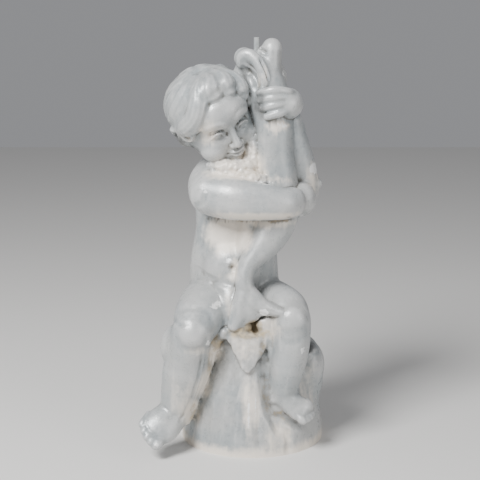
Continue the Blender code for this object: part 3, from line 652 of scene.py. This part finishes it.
# locks of hair as degrees around from the face and degrees above the ears, then half width and half depth
locks = {
    "paired": [
        ([(96, 66), (106, 40), (114, 12), (116, -16), (106, -32)], 2.5, 1.3),
        ([(126, 58), (132, 28), (134, 0), (132, -26), (122, -41)], 2.4, 1.2),
        ([(152, 54), (156, 24), (157, -4), (155, -30), (146, -46)], 2.3, 1.2),
    ],
    "single": [
        ([(40, 78), (2, 60), (-8, 50), (-7, 42)], 3.9, 2.9),
        ([(62, 70), (36, 54), (25, 45), (22, 37)], 3.2, 3.0),
        ([(78, 56), (58, 38), (47, 26), (43, 17)], 2.6, 2.7),
        ([(20, 80), (-30, 58), (-36, 38), (-44, 20), (-58, 6), (-74, -4)], 2.9, 2.7),
        ([(-60, 80), (-64, 56), (-70, 34), (-80, 14), (-90, -8)], 4.6, 1.3),
        ([(-130, 78), (-110, 54), (-110, 28), (-114, 0), (-108, -18)], 4.4, 1.2),
        ([(-68, -36), (-84, -41), (-100, -39), (-118, -32)], 2.2, 2.6),
        ([(84, 44), (86, 22), (84, 0), (80, -18)], 2.6, 1.5),
        ([(180, 58), (178, 26), (180, -4), (182, -32), (176, -48)], 2.2, 1.2),
    ],
    "waves": [
        ([(110, 80), (88, 68), (72, 54), (66, 42)], 3.4, 0.9),
        ([(168, 82), (132, 74), (126, 64)], 3.2, 0.9),
        ([(-168, 84), (-150, 70), (-150, 56)], 3.2, 0.9),
    ],
    "strandDepth": 0.07,
    "strandOffsets": (-0.55, 0.0, 0.5),
    # curls: degrees around and above, their size in degrees, where they start and which way they wind
    "curls": [
        (-64, -8, 14, 110, -1), (-90, -15, 15, 80, -1), (-72, -33, 13, 60, 1), (-98, -36, 14, 100, -1),
        (-122, -28, 14, 120, 1), (54, 2, 10, 60, 1), (64, -17, 11, 100, 1), (50, 21, 9, 150, 1),
        (75, -34, 11, 120, -1), (96, -36, 12, 60, 1), (122, -40, 13, 100, 1), (-138, -42, 12, 60, -1),
        (146, -46, 12, 80, -1), (-158, -46, 12, 80, 1), (174, -48, 12, 100, 1),
    ],
    "curlWidth": 0.56,
    "curlDepth": 1.9,
    "waveValleys": [
        [(76, 82), (28, 66), (18, 54), (13, 42)],
        [(90, 74), (60, 54), (48, 42), (40, 32)],
        [(30, 84), (-16, 66), (-24, 52), (-27, 38)],
        [(-40, 84), (-44, 64), (-50, 44), (-60, 24), (-76, 6)],
        [(-110, 84), (-88, 62), (-90, 36), (-98, 8), (-104, -10)],
        [(-150, 78), (-136, 56), (-132, 30), (-132, 0)],
        [(124, 76), (104, 58), (96, 34), (94, 10)],
    ],
    "valleyDepth": 0.18,
    # where the fringe stands off the brow
    "fringe": [(-36, 22), (-24, 32), (-9, 35), (6, 33), (20, 31), (33, 26), (43, 12), (47, 2)],
    "fringeDepth": 0.22,
}


def headPlace():
    pitch, rollOver, yaw = (math.radians(a) for a in head["turn"])
    turned = Matrix.Rotation(yaw, 4, "Z") @ Matrix.Rotation(rollOver, 4, "Y") @ Matrix.Rotation(pitch, 4, "X")
    return Matrix.Translation(head["centre"]) @ turned


def onHair(around, above):
    around, above = math.radians(around), math.radians(above)
    way = Vector((math.sin(around) * math.cos(above), -math.cos(around) * math.cos(above), math.sin(above)))
    return Vector(head["hairCentre"]) + way * Vector(head["hairRadii"]) * head["lockSink"]


def lockPoints(turns):
    return [onHair(around, above) for around, above in turns]


def tightLocks():
    found = list(locks["single"])
    for turns, width, thick in locks["paired"]:
        found.append((turns, width, thick))
        found.append(([(-around - 4, above + 2) for around, above in turns], width, thick))
    return found


def makeLock(turns, width, thick):
    points = lockPoints(turns)
    facing = points[len(points) // 2] - Vector(head["hairCentre"])
    shares = [0.4, 0.85] + [1.0] * (len(points) - 3) + [0.7]
    return roll([(*p, width * k, thick * k) for p, k in zip(points, shares)], facing=facing, sides=18)


def makeCurl(around, above, size, start, wind):
    # a roll wound up on the head like a snail
    turns = []
    for step in range(9):
        angle = math.radians(start + wind * 52 * step)
        reach = size * (1 - 0.085 * step)
        wider = 1 / max(0.4, math.cos(math.radians(above)))
        turns.append((around + math.cos(angle) * reach * wider, above + math.sin(angle) * reach))
    return makeLock(turns, locks["curlWidth"], locks["curlDepth"])


def strandLines():
    # fine grooves along each lock
    found = []
    middle = Vector(head["hairCentre"])
    for turns, width, thick in tightLocks():
        points = [Vector(row) for row in smoothRows([tuple(p) for p in lockPoints(turns)], 3)]
        for offset in locks["strandOffsets"]:
            line = []
            for i, point in enumerate(points):
                along = points[min(i + 1, len(points) - 1)] - points[max(i - 1, 0)]
                out = (point - middle).normalized()
                side = along.cross(out).normalized()
                line.append(tuple(point + side * offset * width + out * (thick + 0.4)))
            found.append((line, locks["strandDepth"], 0.6))
    for turns in locks["waveValleys"]:
        line = [tuple(point + (point - middle).normalized() * 1.6) for point in lockPoints(turns)]
        found.append((line, locks["valleyDepth"], 1.5))
    brow = [tuple(point - (point - middle).normalized() * 0.4) for point in lockPoints(locks["fringe"])]
    found.append((brow, locks["fringeDepth"], 1.1))
    return found


def makeHead():
    both = (1, -1)
    lumps = [ball(*mass) for mass in head["skull"]]
    for side in both:
        centre, radii = head["cheek"]
        lumps.append(ball((centre[0] * side, *centre[1:]), radii))
    face = fuse("face", lumps, head["skinVoxel"], head["skinRelax"])
    sockets = [(points, head["socketDepth"], head["socketWidth"])
               for points in (head["socket"], mirrored(head["socket"]))]
    carve(face, sockets, look=back)
    lumps = [face, roll(head["noseBridge"], sides=18), roll(head["upperLip"], facing=back, sides=14),
             roll(head["lowerLip"], facing=back, sides=14)]
    for side in both:
        for key in ("eye", "noseWing", "earBase"):
            centre, radii = head[key]
            lumps.append(ball((centre[0] * side, *centre[1:]), radii))
        for key in ("upperLid", "lowerLid", "ear"):
            stations = head[key] if side > 0 else mirrored(head[key])
            lumps.append(roll(stations, sides=14))
    features = fuse("features", lumps, head["fineVoxel"], 2)
    cap = [ball(Vector(head["hairCentre"]) + Vector((0, 0.7, 0.3)),
                Vector(head["hairRadii"]) - Vector((0.6, 0.6, 0.6))), ball((0, 6.4, -3.0), (7.6, 4.8, 6.0))]
    curls = [makeCurl(*curl) for curl in locks["curls"]]
    strands = [makeLock(*lock) for lock in tightLocks() + locks["waves"]]
    hair = fuse("hair", cap + curls + strands, fineVoxel, head["hairRelax"])
    whole = fuse("head", [features, hair], head["fineVoxel"], 1)
    whole.matrix_world = headPlace()
    bpy.ops.object.transform_apply(location=True, rotation=True, scale=True)
    return whole


def carveHead(obj):
    place = headPlace()
    lines = list(faceLines["middle"])
    for points, depth, width in faceLines["paired"]:
        lines += [(points, depth, width), (mirrored(points), depth, width)]
    carve(obj, lines, look=back, turn=place)
    point, depth, width = faceLines["nostril"]
    carve(obj, [([point], depth, width), (mirrored([point]), depth, width)] + strandLines(), turn=place)


# the dolphin

dolphin = {
    "rolls": [
        ([(2.4, -2.8, 92.0, 4.2, 3.6), (2.9, -3.1, 89.5, 4.7, 3.9), (3.8, -3.4, 86, 5.0, 4.4),
          (5.0, -3.8, 79, 4.9, 4.4), (5.2, -4.2, 72, 4.8, 4.5), (6.0, -5, 65, 5.0, 4.6),
          (6.1, -6.2, 58.5, 5.3, 4.4), (4.4, -7.4, 53.5, 4.6, 4.0), (2.0, -8.4, 49.8, 3.6, 3.6),
          (-0.8, -9.3, 46.4, 2.6, 3.0), (-2.0, -10.2, 43, 2.3, 2.6), (-1.6, -11.0, 39.5, 2.4, 2.3),
          (-0.8, -11.6, 36.5, 2.6, 2.0)], back),
        ([(4.2, -2.8, 88, 3.2, 3.6), (4.5, -2.4, 94, 2.4, 3.0), (4.6, -2.2, 97.4, 2.5, 2.8)], back),
        ([(3.4, -2.6, 93.4, 1.4, 1.8), (3.2, -2.4, 96.6, 1.8, 2.0)], back),
        ([(3.2, -2.4, 87, 3.4, 3.4), (0.8, -2.2, 91.6, 2.5, 3.0), (-2.0, -2.0, 95.1, 2.6, 3.0)], back),
        ([(-2.9, -3.6, 93.6, 1.1, 1.0), (-2.6, -4.2, 95.4, 1.4, 1.1), (-0.9, -4.9, 96.0, 1.5, 1.2),
          (0.9, -5.6, 94.6, 1.5, 1.3), (2.1, -6.1, 92.4, 1.5, 1.4), (2.7, -6.5, 90.2, 1.4, 1.4),
          (2.4, -6.8, 88.0, 1.2, 1.2)], back),
    ],
    "balls": [
        ((-0.6, 0.2, 87.8), (4.2, 3.2, 4.6)),
        ((-2.6, -0.4, 91.4), (2.2, 2.6, 3.2)),
    ],
    "plates": [
        ([(1.6, -3.2, 97.8), (3.8, -3.4, 95.8), (3.8, -3.4, 89), (-0.4, -3.4, 89), (-0.2, -3.2, 94.8)], 2.0),
    ],
    "voxel": 0.35,
    "relax": 5,
}

tailFin = {
    "rolls": [
        ([(-0.8, -11.2, 39.5, 2.0, 2.2), (2.2, -12.6, 36.7, 1.9, 1.6), (5.0, -13.8, 35.7, 1.4, 1.2),
          (7.3, -14.6, 35.3, 0.9, 0.9)], back),
        ([(-1.8, -11.2, 39.5, 2.4, 2.2), (-2.8, -12.4, 35.6, 2.6, 1.7), (-4.8, -13.2, 31.6, 1.5, 1.1)], back),
    ],
    "balls": [((-1.0, -12.2, 35.8), (3.6, 1.9, 3.6))],
    "plates": [
        ([(0.2, -11.6, 41.0), (1.3, -12.0, 38.9), (3.2, -12.6, 37.8), (5.5, -13.5, 37.0), (7.5, -14.3, 36.2),
          (8.4, -14.7, 35.2), (7.0, -14.4, 34.3), (2.9, -13.8, 34.3), (0.8, -13.6, 34.1), (-0.6, -13.6, 32.7),
          (-3.2, -13.4, 31.0), (-6.0, -13.2, 30.2), (-5.2, -12.8, 33.0), (-4.4, -12.2, 36.0),
          (-4.0, -11.6, 39.0)], 2.4),
    ],
    "voxel": 0.35,
    "relax": 6,
}

dolphinLines = [
    ([(-1.8, 0, 92.4), (-0.4, 0, 91.4), (0.6, 0, 89.8), (1.0, 0, 88.2)], 1.0, 1.6),
    ([(-1.4, 0, 93.9), (0.2, 0, 92.6), (1.1, 0, 90.6), (1.3, 0, 88.8)], 0.5, 0.7),
    ([(1.2, 0, 97.9), (2.2, 0, 97.2), (3.0, 0, 96.6)], 0.7, 0.6),
    ([(1.6, 0, 95.2), (2.4, 0, 93.6), (3.2, 0, 92.0), (3.6, 0, 90.2)], 0.6, 0.6),
    ([(-0.8, 0, 39.0), (0.8, 0, 36.8), (2.8, 0, 35.6)], -0.2, 1.2),
    ([(-4.2, 0, 36.6), (-4.6, 0, 34.6), (-5.4, 0, 32.4)], 0.12, 1.0),
]


def makeDolphin():
    fish = fuse("dolphin", makeLumps(dolphin), dolphin["voxel"], dolphin["relax"])
    return [fish, fuse("tailFin", makeLumps(tailFin), tailFin["voxel"], tailFin["relax"])]


# everything is fused into one casting

def makeStatue():
    voxel = statue["voxel"]
    parts = [makeRock()] + makeBody() + makeDolphin()
    print("large forms made")
    parts += [makeToes(rightFoot), makeToes(leftFoot), makeHand(), makeFingers()]
    print("hands and feet made")
    parts.append(makeHead())
    print("head made")
    whole = fuse("castStatue", parts, voxel, statue["relax"])
    print("fused:", len(whole.data.polygons), "faces")
    carve(whole, bodyLines["front"] + dolphinLines, look=back)
    carve(whole, bodyLines["back"], look=-back)
    carveHead(whole)
    print("lines carved")
    whole.scale = [statue["unit"]] * 3
    deselectAll()
    whole.select_set(True)
    bpy.context.view_layer.objects.active = whole
    bpy.ops.object.transform_apply(location=True, rotation=True, scale=True)
    triangles = sum(len(face.vertices) - 2 for face in whole.data.polygons)
    if triangles > statue["triangles"]:
        finishWith(whole, "DECIMATE", ratio=statue["triangles"] / triangles)
    bpy.ops.object.mode_set(mode="EDIT")
    bpy.ops.mesh.select_all(action="SELECT")
    bpy.ops.mesh.bisect(plane_co=(0, 0, 0), plane_no=(0, 0, 1), use_fill=True, clear_inner=True,
                        threshold=0.000001)
    bpy.ops.object.mode_set(mode="OBJECT")
    bpy.ops.object.shade_smooth_by_angle(angle=math.radians(statue["creaseAngle"]))
    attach(whole, "root")
    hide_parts("statue")
    return whole


castStatue = makeStatue()
print("statue:", len(castStatue.data.polygons), "faces")

# where the lead is stained or carries painted light: the middle of each patch, its reach each way and its
# strength; bloom is cream oxide, grime is mostly painted shade, worn is mostly painted highlights, soil is
# dirt with a painted shadow line
patches = {
    "bloom": [
        ((0.6, -14, 58.7), (11.0, 4, 1.1), 0.8),
        ((-5.2, -8, 43.0), (3.2, 5, 1.4), 0.5),
        ((-7.2, -8, 53.0), (6.0, 6, 4.4), 0.95), ((-3.0, -8, 53.0), (2.8, 6, 3.8), 1.0),
        ((-1.0, -10, 56.4), (11.0, 6, 1.3), 0.75), ((-4.4, -9, 45.0), (1.0, 4, 2.8), 0.7),
        ((-0.6, -8, 69.8), (2.8, 5, 4.6), 1.0), ((-4.0, -9, 67.8), (7.0, 4, 1.7), 0.9),
        ((-6.0, -9, 70.0), (4.6, 4, 1.6), 0.75),
        ((5.0, -9, 66.6), (5.0, 4, 0.8), 0.6), ((-10.6, -10, 78.4), (2.4, 4, 3.2), 0.6),
        ((-15.0, -8, 78.0), (2.0, 4, 3.0), 0.45), ((-1.4, -14, 27.6), (5.6, 4, 4.0), 0.6),
        ((-9.2, -11, 24.5), (2.0, 4, 3.2), 0.9), ((-12.0, -12, 17.0), (2.0, 4, 5.2), 0.9),
        ((-15.2, -12, 10.0), (2.3, 4, 4.6), 0.9), ((-0.3, -15, 12.0), (2.4, 5, 7.5), 0.72),
        ((6.6, -16, 4.0), (3.6, 5, 4.6), 0.6), ((12.8, -6, 14.0), (4.0, 7, 8.0), 0.42),
        ((5.8, -7, 79.4), (2.8, 4, 1.3), 0.9), ((-17.0, -16, 14.0), (3.0, 4, 5.5), 0.42),
        ((2.4, -7, 90.6), (1.6, 3, 3.0), 0.5), ((4.4, -13, 31.0), (3.0, 5, 3.0), 0.55),
        ((-13.4, -16, 26.6), (3.4, 4, 1.2), 0.45), ((-5.6, -10, 36.0), (1.2, 4, 5.0), 0.5),
        ((14.6, -2, 66.0), (2.0, 5, 5.0), 0.5), ((0, 16, 6.0), (16, 8, 5.0), 0.5),
        ((-4.0, 12, 62.0), (6.0, 6, 5.0), 0.4), ((-4.0, 14, 36.0), (9.0, 6, 4.0), 0.4),
    ],
    # worn: mostly painted highlights, glints on the thigh, fin and elbow, with some white drips and wear on
    # the rock
    "glintAndWear": [
        ((-9.2, -10, 36.6), (2.1, 6, 0.9), 1.0), ((2.7, -14, 35.4), (1.1, 4, 0.8), 1.0),
        ((-10.7, -17, 28.2), (0.6, 4, 1.0), 0.8), ((14.9, -2, 68.4), (1.1, 5, 1.7), 1.0),
        ((-11.2, -12, 64.2), (0.5, 4, 0.6), 0.7), ((6.6, -7, 79.6), (2.0, 4, 0.5), 0.9),
        ((3.6, -11, 66.2), (5.0, 4, 0.6), 0.72), ((12.0, -15, 26.5), (0.9, 4, 0.8), 0.72),
        ((-1.0, -15, 10.0), (0.4, 5, 4.6), 0.8), ((0.7, -16, 12.0), (0.3, 5, 3.0), 0.7),
        ((-22.8, -20, 4.4), (0.8, 3, 0.8), 0.7), ((-1.5, -6, 96.4), (0.6, 3, 0.5), 0.6),
    ],
    # soil: yellow-brown dirt; the thin bands under the forearm are a painted shadow line
    "soilAndShadow": [
        ((-1.4, -14, 29.9), (5.4, 4, 1.4), 1.0), ((0.2, -11, 31.6), (2.4, 6, 2.0), 1.0),
        ((-8.8, -11, 27.2), (2.0, 4, 2.6), 0.85), ((-10.4, -12, 21.6), (1.0, 4, 4.2), 0.6),
        ((-14.4, -12, 9.0), (1.2, 4, 4.4), 0.6), ((3.2, -13, 15.0), (1.2, 5, 6.4), 0.42),
        ((7.0, -13, 9.4), (4.0, 4, 1.5), 0.45), ((-9.0, -6, 56.0), (3.8, 4, 0.6), 0.62),
        ((-3.0, -8, 56.5), (4.4, 4, 0.6), 0.66), ((5.0, -10, 56.9), (5.2, 4, 0.6), 0.66),
        ((-3.0, -9, 68.4), (6.5, 5, 1.6), 0.45), ((-17.2, -8, 2.0), (4.0, 12, 2.0), 0.5),
        ((2.4, -13, 26.0), (1.2, 4, 3.0), 0.55), ((0, 16, 1.0), (20, 8, 1.6), 0.6),
        ((-5.2, -10, 37.0), (0.7, 4, 4.4), 0.45),
    ],
    # grime: mostly painted shade under the forearm, under the curls, beneath the left foot and in deep
    # hollows, with a few real dark rough patches on the rock
    "shadeAndGrime": [
        ((1.4, -8, 84.6), (1.9, 4, 4.6), 0.75), ((-18.6, -2, 75.0), (2.4, 7, 2.2), 1.0),
        ((-14.6, -3, 73.2), (2.6, 6, 1.5), 0.95), ((2.4, -8, 88.6), (2.4, 4, 1.4), 0.5),
        ((-0.6, -4, 91.0), (2.6, 4, 2.8), 0.55), ((14.0, -3, 24.0), (2.0, 6, 1.4), 0.9),
        ((3.3, -13, 15.6), (1.3, 4, 5.6), 0.6), ((2.2, -13, 27.0), (0.9, 4, 3.2), 0.7),
        ((6.4, -13, 9.6), (3.4, 4, 1.0), 0.55), ((0.2, -9, 31.6), (1.8, 5, 1.7), 0.9),
        ((-6.2, -8, 42.4), (3.4, 5, 1.4), 0.3),
        ((-9.0, -6, 56.2), (3.6, 4, 0.5), 0.95), ((-3.0, -8, 56.7), (4.2, 4, 0.5), 1.0),
        ((5.0, -10, 57.1), (5.2, 4, 0.5), 1.0), ((8.4, -12, 58.2), (1.4, 4, 0.5), 0.45),
        ((-5.4, -14, 27.4), (0.6, 3, 2.4), 0.6),
        ((1.8, -13, 23.4), (0.7, 3, 2.6), 0.6), ((-7.4, -11, 27.0), (0.7, 4, 1.4), 0.7),
        ((3.6, -8, 42.0), (2.0, 5, 3.4), 0.45), ((0.6, -3, 72.0), (2.0, 3, 9.0), 0.3),
        ((-0.6, -12, 30.9), (3.4, 5, 0.9), 0.85), ((-16.4, -6, 74.0), (3.0, 6, 0.9), 0.85),
    ],
    "rimHeight": 3.6,
    "rimStrength": 1.0,
}

# how deep a hollow counts as whole, in metres, and how much each kind counts
hollows = {
    "fineSteps": 4,
    "broadSteps": 36,
    "fineDepth": 0.0005,
    "broadDepth": 0.003,
    "fineShare": 0.4,
}


def relaxed(places, edges, times):
    # the skin with its small forms smoothed away
    count = np.bincount(edges.ravel(), minlength=len(places))[:, None]
    for _ in range(times):
        total = np.empty_like(places)
        for axis in range(3):
            total[:, axis] = (np.bincount(edges[:, 0], places[edges[:, 1], axis], len(places))
                              + np.bincount(edges[:, 1], places[edges[:, 0], axis], len(places)))
        places = 0.5 * places + 0.5 * total / np.maximum(count, 1)
    return places


def mark(obj, name, values):
    layer = obj.data.attributes.new(name, "FLOAT", "POINT")
    layer.data.foreach_set("value", np.clip(values, -1, 1).astype(np.float32))


def markStatue(obj):
    # numbers on the skin that the lead reads: how hollow it is, which gives painted shade and dirt in the
    # hollows and rubbed edges on ridges, and where it is stained, shaded with paint or given painted
    # highlights
    places, normals = readSkin(obj)
    edges = np.empty(len(obj.data.edges) * 2, np.int32)
    obj.data.edges.foreach_get("vertices", edges)
    edges = edges.reshape(-1, 2)
    fine = relaxed(places, edges, hollows["fineSteps"])
    broad = relaxed(fine, edges, hollows["broadSteps"])
    depthFine = ((fine - places) * normals).sum(1) / hollows["fineDepth"]
    depthBroad = ((broad - places) * normals).sum(1) / hollows["broadDepth"]
    share = hollows["fineShare"]
    mark(obj, "hollow", share * depthFine + (1 - share) * depthBroad)
    drawn = places / statue["unit"]
    for name in ("bloom", "glintAndWear", "soilAndShadow", "shadeAndGrime"):
        strength = np.zeros(len(places))
        for middle, reach, most in patches[name]:
            away = (((drawn - middle) / reach) ** 2).sum(1)
            strength = np.maximum(strength, most * np.exp(-0.7 * away ** 1.5))
        if name == "bloom":
            rim = np.clip(1 - drawn[:, 2] / patches["rimHeight"], 0, 1)
            strength = np.maximum(strength, patches["rimStrength"] * rim)
        mark(obj, name, strength)


markStatue(castStatue)
print("stains marked")


# materials

def addNode(tree, kind, settings=None, **inputs):
    made = tree.nodes.new(kind)
    for key, value in (settings or {}).items():
        setattr(made, key, value)
    for key, value in inputs.items():
        socket = made.inputs[int(key[1:])] if key[1:].isdigit() else made.inputs[key]
        if isinstance(value, bpy.types.NodeSocket):
            tree.links.new(value, socket)
        else:
            socket.default_value = value
    return made


def cloudNoise(tree, vector, scale, detail=5.0, rough=0.55):
    made = addNode(tree, "ShaderNodeTexNoise", Vector=vector, Scale=scale, Detail=detail, Roughness=rough)
    return made.outputs["Fac"]


def ramp(tree, value, low, high, least=0.0, most=1.0):
    made = addNode(tree, "ShaderNodeMapRange", {"interpolation_type": "SMOOTHSTEP"}, Value=value)
    for key, number in (("From Min", low), ("From Max", high), ("To Min", least), ("To Max", most)):
        made.inputs[key].default_value = number
    return made.outputs["Result"]


def sums(tree, operation, a, b):
    made = addNode(tree, "ShaderNodeMath", {"operation": operation}, _0=a, _1=b)
    return made.outputs["Value"]


def mixed(tree, share, first, second):
    made = addNode(tree, "ShaderNodeMix", {"data_type": "RGBA"}, _0=share, _6=first, _7=second)
    return made.outputs[2]


def marked(tree, name):
    return addNode(tree, "ShaderNodeAttribute", {"attribute_name": name}).outputs["Fac"]


lead = {
    "coolGrey": (0.31, 0.338, 0.348, 1),
    "warmGrey": (0.415, 0.42, 0.412, 1),
    "paleGrey": (0.54, 0.54, 0.53, 1),
    # crevice: painted shade darkening the hollows, together with real dirt in them
    "creviceShadeAndDirt": (0.085, 0.078, 0.062, 1),
    "rubbedEdge": (0.66, 0.66, 0.655, 1),
    "oxideCream": (0.85, 0.775, 0.68, 1),
    # glintAndWearWhite: the white of the painted highlights and of some white wear
    "glintAndWearWhite": (0.88, 0.88, 0.87, 1),
    # yellowDirtAndShadow and brownDirtAndShadow: dirt colours, also tinting the painted shadow line under the
    # forearm
    "yellowDirtAndShadow": (0.45, 0.35, 0.2, 1),
    "brownDirtAndShadow": (0.2, 0.155, 0.09, 1),
    # soot: the dark of the painted shade, also used for a few real dark patches
    "shadeAndGrimeDark": (0.05, 0.051, 0.05, 1),
    "cloudScale": 15.0,
    "mottleScale": 105.0,
    "speckScale": 430.0,
    "streakScale": 95.0,
    "streakStretch": 0.13,
    # creviceShadeAndDirtShare: how far the painted hollow shade and dirt darken the lead
    "creviceShadeAndDirtShare": 0.8,
    "bloomShare": 0.88,
    # shadeAndGrimeShare: how far the painted shade darkens the lead
    "shadeAndGrimeShare": 0.72,
    # soilAndShadowShare: how far the dirt and the painted shadow line darken the lead
    "soilAndShadowShare": 0.7,
    # glintAndWearShare: how far the painted highlights and white wear lighten the lead
    "glintAndWearShare": 0.9,
    "roughLow": 0.24,
    "roughHigh": 0.43,
    "metallic": 0.15,
    "bump": 0.4,
    "bumpHeight": 0.0012,
}


def leadMaterial(name, stainsAndPaintedLight):
    material = bpy.data.materials.new(name)
    material.use_nodes = True
    tree = material.node_tree
    shader = tree.nodes["Principled BSDF"]
    place = addNode(tree, "ShaderNodeTexCoord").outputs["Object"]
    clouds = cloudNoise(tree, place, lead["cloudScale"])
    mottle = cloudNoise(tree, place, lead["mottleScale"], 6.0, 0.62)
    specks = cloudNoise(tree, place, lead["speckScale"], 3.0)
    longWays = (1, 1, lead["streakStretch"])
    stretched = addNode(tree, "ShaderNodeMapping", Vector=place, Scale=longWays).outputs["Vector"]
    streaks = cloudNoise(tree, stretched, lead["streakScale"], 4.0)
    colour = mixed(tree, ramp(tree, clouds, 0.36, 0.64), lead["coolGrey"], lead["warmGrey"])
    colour = mixed(tree, ramp(tree, mottle, 0.42, 0.72, 0, 0.3), colour, lead["paleGrey"])
    colour = mixed(tree, ramp(tree, streaks, 0.52, 0.72, 0, 0.4), colour, lead["paleGrey"])
    rough = ramp(tree, mottle, 0.3, 0.7, lead["roughLow"], lead["roughHigh"])
    # below: real stains, with painted shade in hollows and under parts, and painted highlights
    if stainsAndPaintedLight:
        hollow = marked(tree, "hollow")
        colour = mixed(tree, ramp(tree, hollow, -0.12, -0.8, 0, 0.5), colour, lead["rubbedEdge"])
        # darker in the hollows: painted shade in place of occlusion, with some real crevice dirt
        colour = mixed(tree, ramp(tree, hollow, 0.14, 0.9, 0, lead["creviceShadeAndDirtShare"]), colour, lead["creviceShadeAndDirt"])
        breakup = sums(tree, "ADD", mottle, sums(tree, "MULTIPLY", clouds, 0.5))
        breakup = sums(tree, "SUBTRACT", breakup, 0.75)
        fineBreakup = sums(tree, "ADD", sums(tree, "MULTIPLY", breakup, 1.1),
                           sums(tree, "MULTIPLY", sums(tree, "SUBTRACT", specks, 0.5), 0.45))

        def patchMask(name, low, high, grain):
            return ramp(tree, sums(tree, "ADD", marked(tree, name), grain), low, high)

        drips = sums(tree, "MULTIPLY", sums(tree, "SUBTRACT", streaks, 0.5), 0.75)
        dripped = sums(tree, "ADD", sums(tree, "MULTIPLY", breakup, 0.55), drips)
        bloom = patchMask("bloom", 0.16, 0.8, dripped)
        # soil mask: yellow-brown dirt, and the painted shadow line under the forearm
        soilAndShadow = patchMask("soilAndShadow", 0.3, 0.85, fineBreakup)
        # worn mask: mostly painted highlights (glints), with some white wear
        glintAndWear = patchMask("glintAndWear", 0.46, 0.66, sums(tree, "MULTIPLY", breakup, 1.6))
        # grime mask: mostly painted shade, with a few real dark patches
        shadeAndGrime = patchMask("shadeAndGrime", 0.3, 0.8, breakup)
        colour = mixed(tree, sums(tree, "MULTIPLY", bloom, lead["bloomShare"]), colour, lead["oxideCream"])
        colour = mixed(tree, sums(tree, "MULTIPLY", shadeAndGrime, lead["shadeAndGrimeShare"]), colour, lead["shadeAndGrimeDark"])
        # the colour of the dirt and of the painted shadow line
        dirtAndShadow = mixed(tree, ramp(tree, mottle, 0.38, 0.6), lead["brownDirtAndShadow"], lead["yellowDirtAndShadow"])
        colour = mixed(tree, sums(tree, "MULTIPLY", soilAndShadow, lead["soilAndShadowShare"]), colour, dirtAndShadow)
        colour = mixed(tree, sums(tree, "MULTIPLY", glintAndWear, lead["glintAndWearShare"]), colour, lead["glintAndWearWhite"])
        rough = sums(tree, "ADD", rough, sums(tree, "MULTIPLY", bloom, 0.2))
        rough = sums(tree, "ADD", rough, sums(tree, "MULTIPLY", soilAndShadow, 0.25))
    tree.links.new(colour, shader.inputs["Base Color"])
    tree.links.new(rough, shader.inputs["Roughness"])
    shader.inputs["Metallic"].default_value = lead["metallic"]
    heights = sums(tree, "ADD", mottle, sums(tree, "MULTIPLY", specks, 0.35))
    bump = addNode(tree, "ShaderNodeBump", Height=heights, Strength=lead["bump"], Distance=lead["bumpHeight"])
    tree.links.new(bump.outputs["Normal"], shader.inputs["Normal"])
    return material


castStatue.data.materials.clear()
castStatue.data.materials.append(leadMaterial("patinatedLead", True))
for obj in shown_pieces():
    if obj.name.startswith("spout_pipe"):
        obj.material_slots[0].material = leadMaterial("pipeLead", False)
print("materials made")

# floor, lights and camera

studio = {
    "floorColour": (0.72, 0.71, 0.69, 1),
    "floorSize": 8,
    "lightsAimAt": (0, 0, 0.32),
    "key": ((-1.1, -1.4, 1.9), 0.9, 104),
    "fill": ((1.5, -1.3, 0.9), 1.2, 12),
    "skyColour": (0.95, 0.96, 1.0, 1),
    "skyStrength": 0.3,
    "cameraPlace": (-0.01908, -1.80, 0.66),
    "cameraPitch": 10.95,
    "lens": 89.25,
}

bpy.ops.mesh.primitive_plane_add(size=studio["floorSize"], location=(0, 0, 0))
floor = bpy.context.object
floor.name = "floor"
floorMaterial = bpy.data.materials.new("paleFloor")
floorMaterial.use_nodes = True
floorShader = floorMaterial.node_tree.nodes["Principled BSDF"]
floorShader.inputs["Base Color"].default_value = studio["floorColour"]
floorShader.inputs["Roughness"].default_value = 0.8
floor.data.materials.append(floorMaterial)


def softLight(name, place, size, power):
    bpy.ops.object.light_add(type="AREA", location=place)
    light = bpy.context.object
    light.name = name
    light.data.size = size
    light.data.energy = power
    towards = Vector(studio["lightsAimAt"]) - Vector(place)
    light.rotation_euler = towards.to_track_quat("-Z", "Y").to_euler()


softLight("keyLight", *studio["key"])
softLight("fillLight", *studio["fill"])

world = bpy.data.worlds.new("studio")
world.use_nodes = True
sky = world.node_tree.nodes["Background"]
sky.inputs["Color"].default_value = studio["skyColour"]
sky.inputs["Strength"].default_value = studio["skyStrength"]
bpy.context.scene.world = world

bpy.ops.object.camera_add(location=studio["cameraPlace"])
camera = bpy.context.object
camera.rotation_euler = (math.radians(90 - studio["cameraPitch"]), 0, 0)
camera.data.sensor_width = 36
camera.data.lens = studio["lens"]
bpy.context.scene.camera = camera
